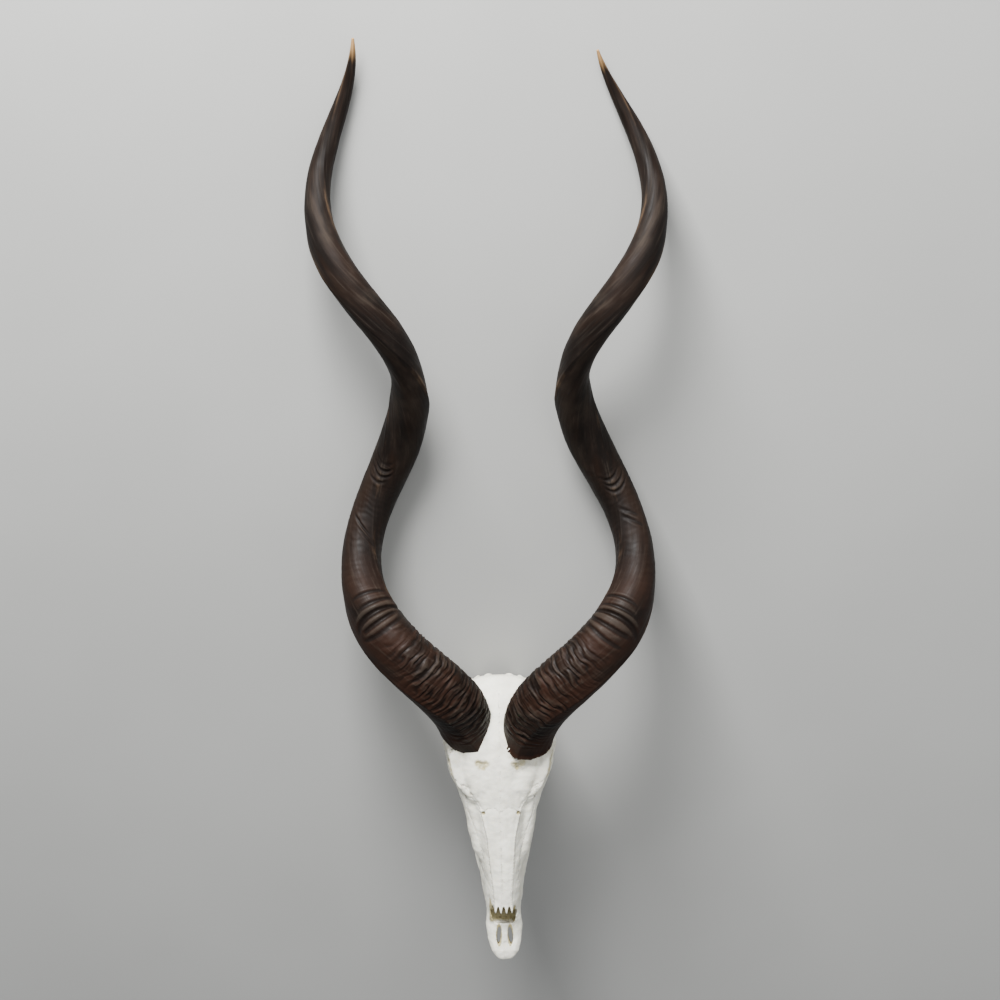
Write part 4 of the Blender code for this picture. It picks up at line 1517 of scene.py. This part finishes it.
@dataclass(frozen=True)
class Studio:
    """The floor, the lights and the camera, which looks straight down on the skull's roof."""

    camera_place: Point = (5.9, 254.0, 3115.0)
    camera_roll: float = math.radians(0.9)
    lens: float = 75.5
    floor_size: float = 14.0
    aim: Point = (0.0, 220.0, 100.0)
    daylight: float = 0.34
    lamps: tuple[Lamp, ...] = (
        Lamp("key", (-500.0, 1900.0, 2400.0), 1.0, 340.0),
        Lamp("front", (500.0, 500.0, 3000.0), 2.0, 34.0),
        Lamp("low", (1700.0, -900.0, 1500.0), 1.8, 10.0),
    )

    def build(self, pose: RestPose) -> None:
        """Sets everything up round the object."""
        self.lay_floor()
        for lamp in self.lamps:
            self.hang(lamp, pose)
        self.fill_with_daylight()
        self.set_camera(pose)

    def lay_floor(self) -> None:
        """Lays the floor under the object's lowest point."""
        shape = bmesh.new()
        bmesh.ops.create_grid(shape, x_segments=1, y_segments=1, size=self.floor_size / 2)
        bmesh.ops.translate(shape, verts=shape.verts, vec=(0.0, 0.0, CAD_BOX[0].z - 0.0003))
        floor = Bench.to_object("floor", shape)
        floor.data.materials.append(FloorFinish().build())

    def hang(self, lamp: Lamp, pose: RestPose) -> None:
        """Hangs one light."""
        data = bpy.data.lights.new(lamp.name, "AREA")
        data.size = lamp.size
        data.energy = lamp.power
        light = bpy.data.objects.new(lamp.name, data)
        bpy.context.scene.collection.objects.link(light)
        light.location = pose.matrix @ Vector(lamp.place)
        way = pose.matrix @ Vector(self.aim) - light.location
        light.rotation_euler = way.to_track_quat("-Z", "Y").to_euler()

    def fill_with_daylight(self) -> None:
        """Lights the room evenly from all round."""
        world = bpy.data.worlds.new("daylight")
        world.use_nodes = True
        sky = world.node_tree.nodes["Background"]
        sky.inputs["Color"].default_value = (0.93, 0.96, 1.0, 1.0)
        sky.inputs["Strength"].default_value = self.daylight
        bpy.context.scene.world = world

    def set_camera(self, pose: RestPose) -> None:
        """Makes the scene's camera."""
        data = bpy.data.cameras.new("camera")
        data.sensor_width = 36.0
        data.lens = self.lens
        data.clip_end = 30.0
        camera = bpy.data.objects.new("camera", data)
        bpy.context.scene.collection.objects.link(camera)
        lean = Matrix.Rotation(-self.camera_roll, 4, "Z")
        spot = pose.turn @ lean
        spot.translation = pose.matrix @ Vector(self.camera_place)
        camera.matrix_world = spot
        bpy.context.scene.camera = camera


# ---------------------------------------------------------------- this animal

RIGHT_HORN = HornSheath(
    name="right_horn_sheath",
    side=Side.RIGHT,
    root=(52.8, -70.0, 98.0),
    flare=0.128,
    reach=996.0,
    first_turn=1.042,
    turns=1.72,
    crowding=1.20,
    bow=37.7,
    coil=(11.4, 72.4, 48.9, 46.9, 15.6),
    girth=(35.5, 37.4, 35.1, 27.6, 26.8, 21.6, 20.0, 14.6, 6.8, 1.5),
    creases=(
        Crease(249.0, -1.95, 1.15, 3.6, 3.2, bend=-6.0),
        Crease(236.0, -1.75, 0.80, 2.8, 2.6, slant=-2.0),
        Crease(262.0, -2.20, 0.75, 2.0, 2.4, bend=-4.0),
        Crease(277.0, -2.10, 0.65, 1.8, 2.2, bend=-5.0),
        Crease(223.0, -1.60, 0.90, 1.6, 2.6, bend=3.0),
        Crease(377.0, -2.55, 0.42, 1.6, 3.0, slant=32.0),
        Crease(362.0, -2.75, 0.35, 1.2, 2.6, slant=30.0),
        Crease(463.0, 3.05, 0.60, 1.3, 2.6, bend=34.0),
        Crease(474.0, 3.00, 0.60, 1.2, 2.6, bend=34.0),
        Crease(486.0, 2.95, 0.55, 1.0, 2.6, bend=34.0),
        Crease(452.0, -3.00, 0.55, 1.0, 2.6, bend=26.0),
    ),
    growth=Growth(seed=1.0),
    rim_drop=23.0,
    rim_shear=0.013,
)
LEFT_HORN = HornSheath(
    name="left_horn_sheath",
    side=Side.LEFT,
    root=(56.4, -70.7, 102.0),
    flare=0.107,
    reach=970.0,
    first_turn=0.942,
    turns=1.727,
    crowding=1.23,
    bow=37.3,
    coil=(25.8, 79.6, 50.5, 48.2, 32.4),
    girth=(35.5, 37.0, 35.6, 27.4, 26.6, 21.2, 20.3, 15.2, 6.5, 1.5),
    creases=(
        Crease(246.0, -1.70, 1.10, 3.4, 3.0, bend=-5.0),
        Crease(229.0, -1.90, 0.95, 2.8, 2.8, slant=2.0),
        Crease(257.0, -1.85, 0.80, 1.8, 2.2, bend=-4.0),
        Crease(271.0, -2.15, 0.70, 2.0, 2.2, bend=-5.0),
        Crease(214.0, -1.60, 0.80, 1.6, 2.6, bend=3.0),
        Crease(389.0, -2.45, 0.50, 1.2, 2.8, slant=-22.0),
        Crease(404.0, -2.60, 0.45, 1.0, 2.6, slant=-22.0),
        Crease(441.0, -2.95, 0.60, 1.4, 2.6, bend=30.0),
        Crease(452.0, -3.05, 0.60, 1.3, 2.6, bend=30.0),
        Crease(464.0, 3.05, 0.55, 1.1, 2.6, bend=30.0),
    ),
    growth=Growth(seed=17.0),
    rim_drop=17.0,
    rim_shear=0.005,
)
TEETH = (
    Tooth("second_premolar", 27.0, -292.5, 10.0, 8.5, 1),
    Tooth("third_premolar", 29.5, -280.5, 12.5, 10.5, 1),
    Tooth("fourth_premolar", 32.0, -267.5, 12.5, 12.5, 1),
    Tooth("first_molar", 34.5, -252.0, 16.5, 14.0, 2),
    Tooth("second_molar", 36.8, -233.3, 19.5, 15.0, 2),
    Tooth("third_molar", 38.4, -213.0, 20.0, 14.0, 2),
)


def main() -> None:
    """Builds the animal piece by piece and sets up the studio."""
    logging.basicConfig(level=logging.INFO, format="%(message)s")
    pose = RestPose.of_horn(LEFT_HORN)
    horns = (RIGHT_HORN, LEFT_HORN)
    Skull("skull", horns, TEETH).build(pose, BoneFinish())
    growth_tree = Growth().tree()
    for horn in horns:
        horn.build(pose, growth_tree, HornFinish())
    enamel = EnamelFinish().build()
    for side in Side:
        for tooth in TEETH:
            tooth.build(side, pose, enamel)
    Studio().build(pose)


if __name__ == "__main__":
    main()
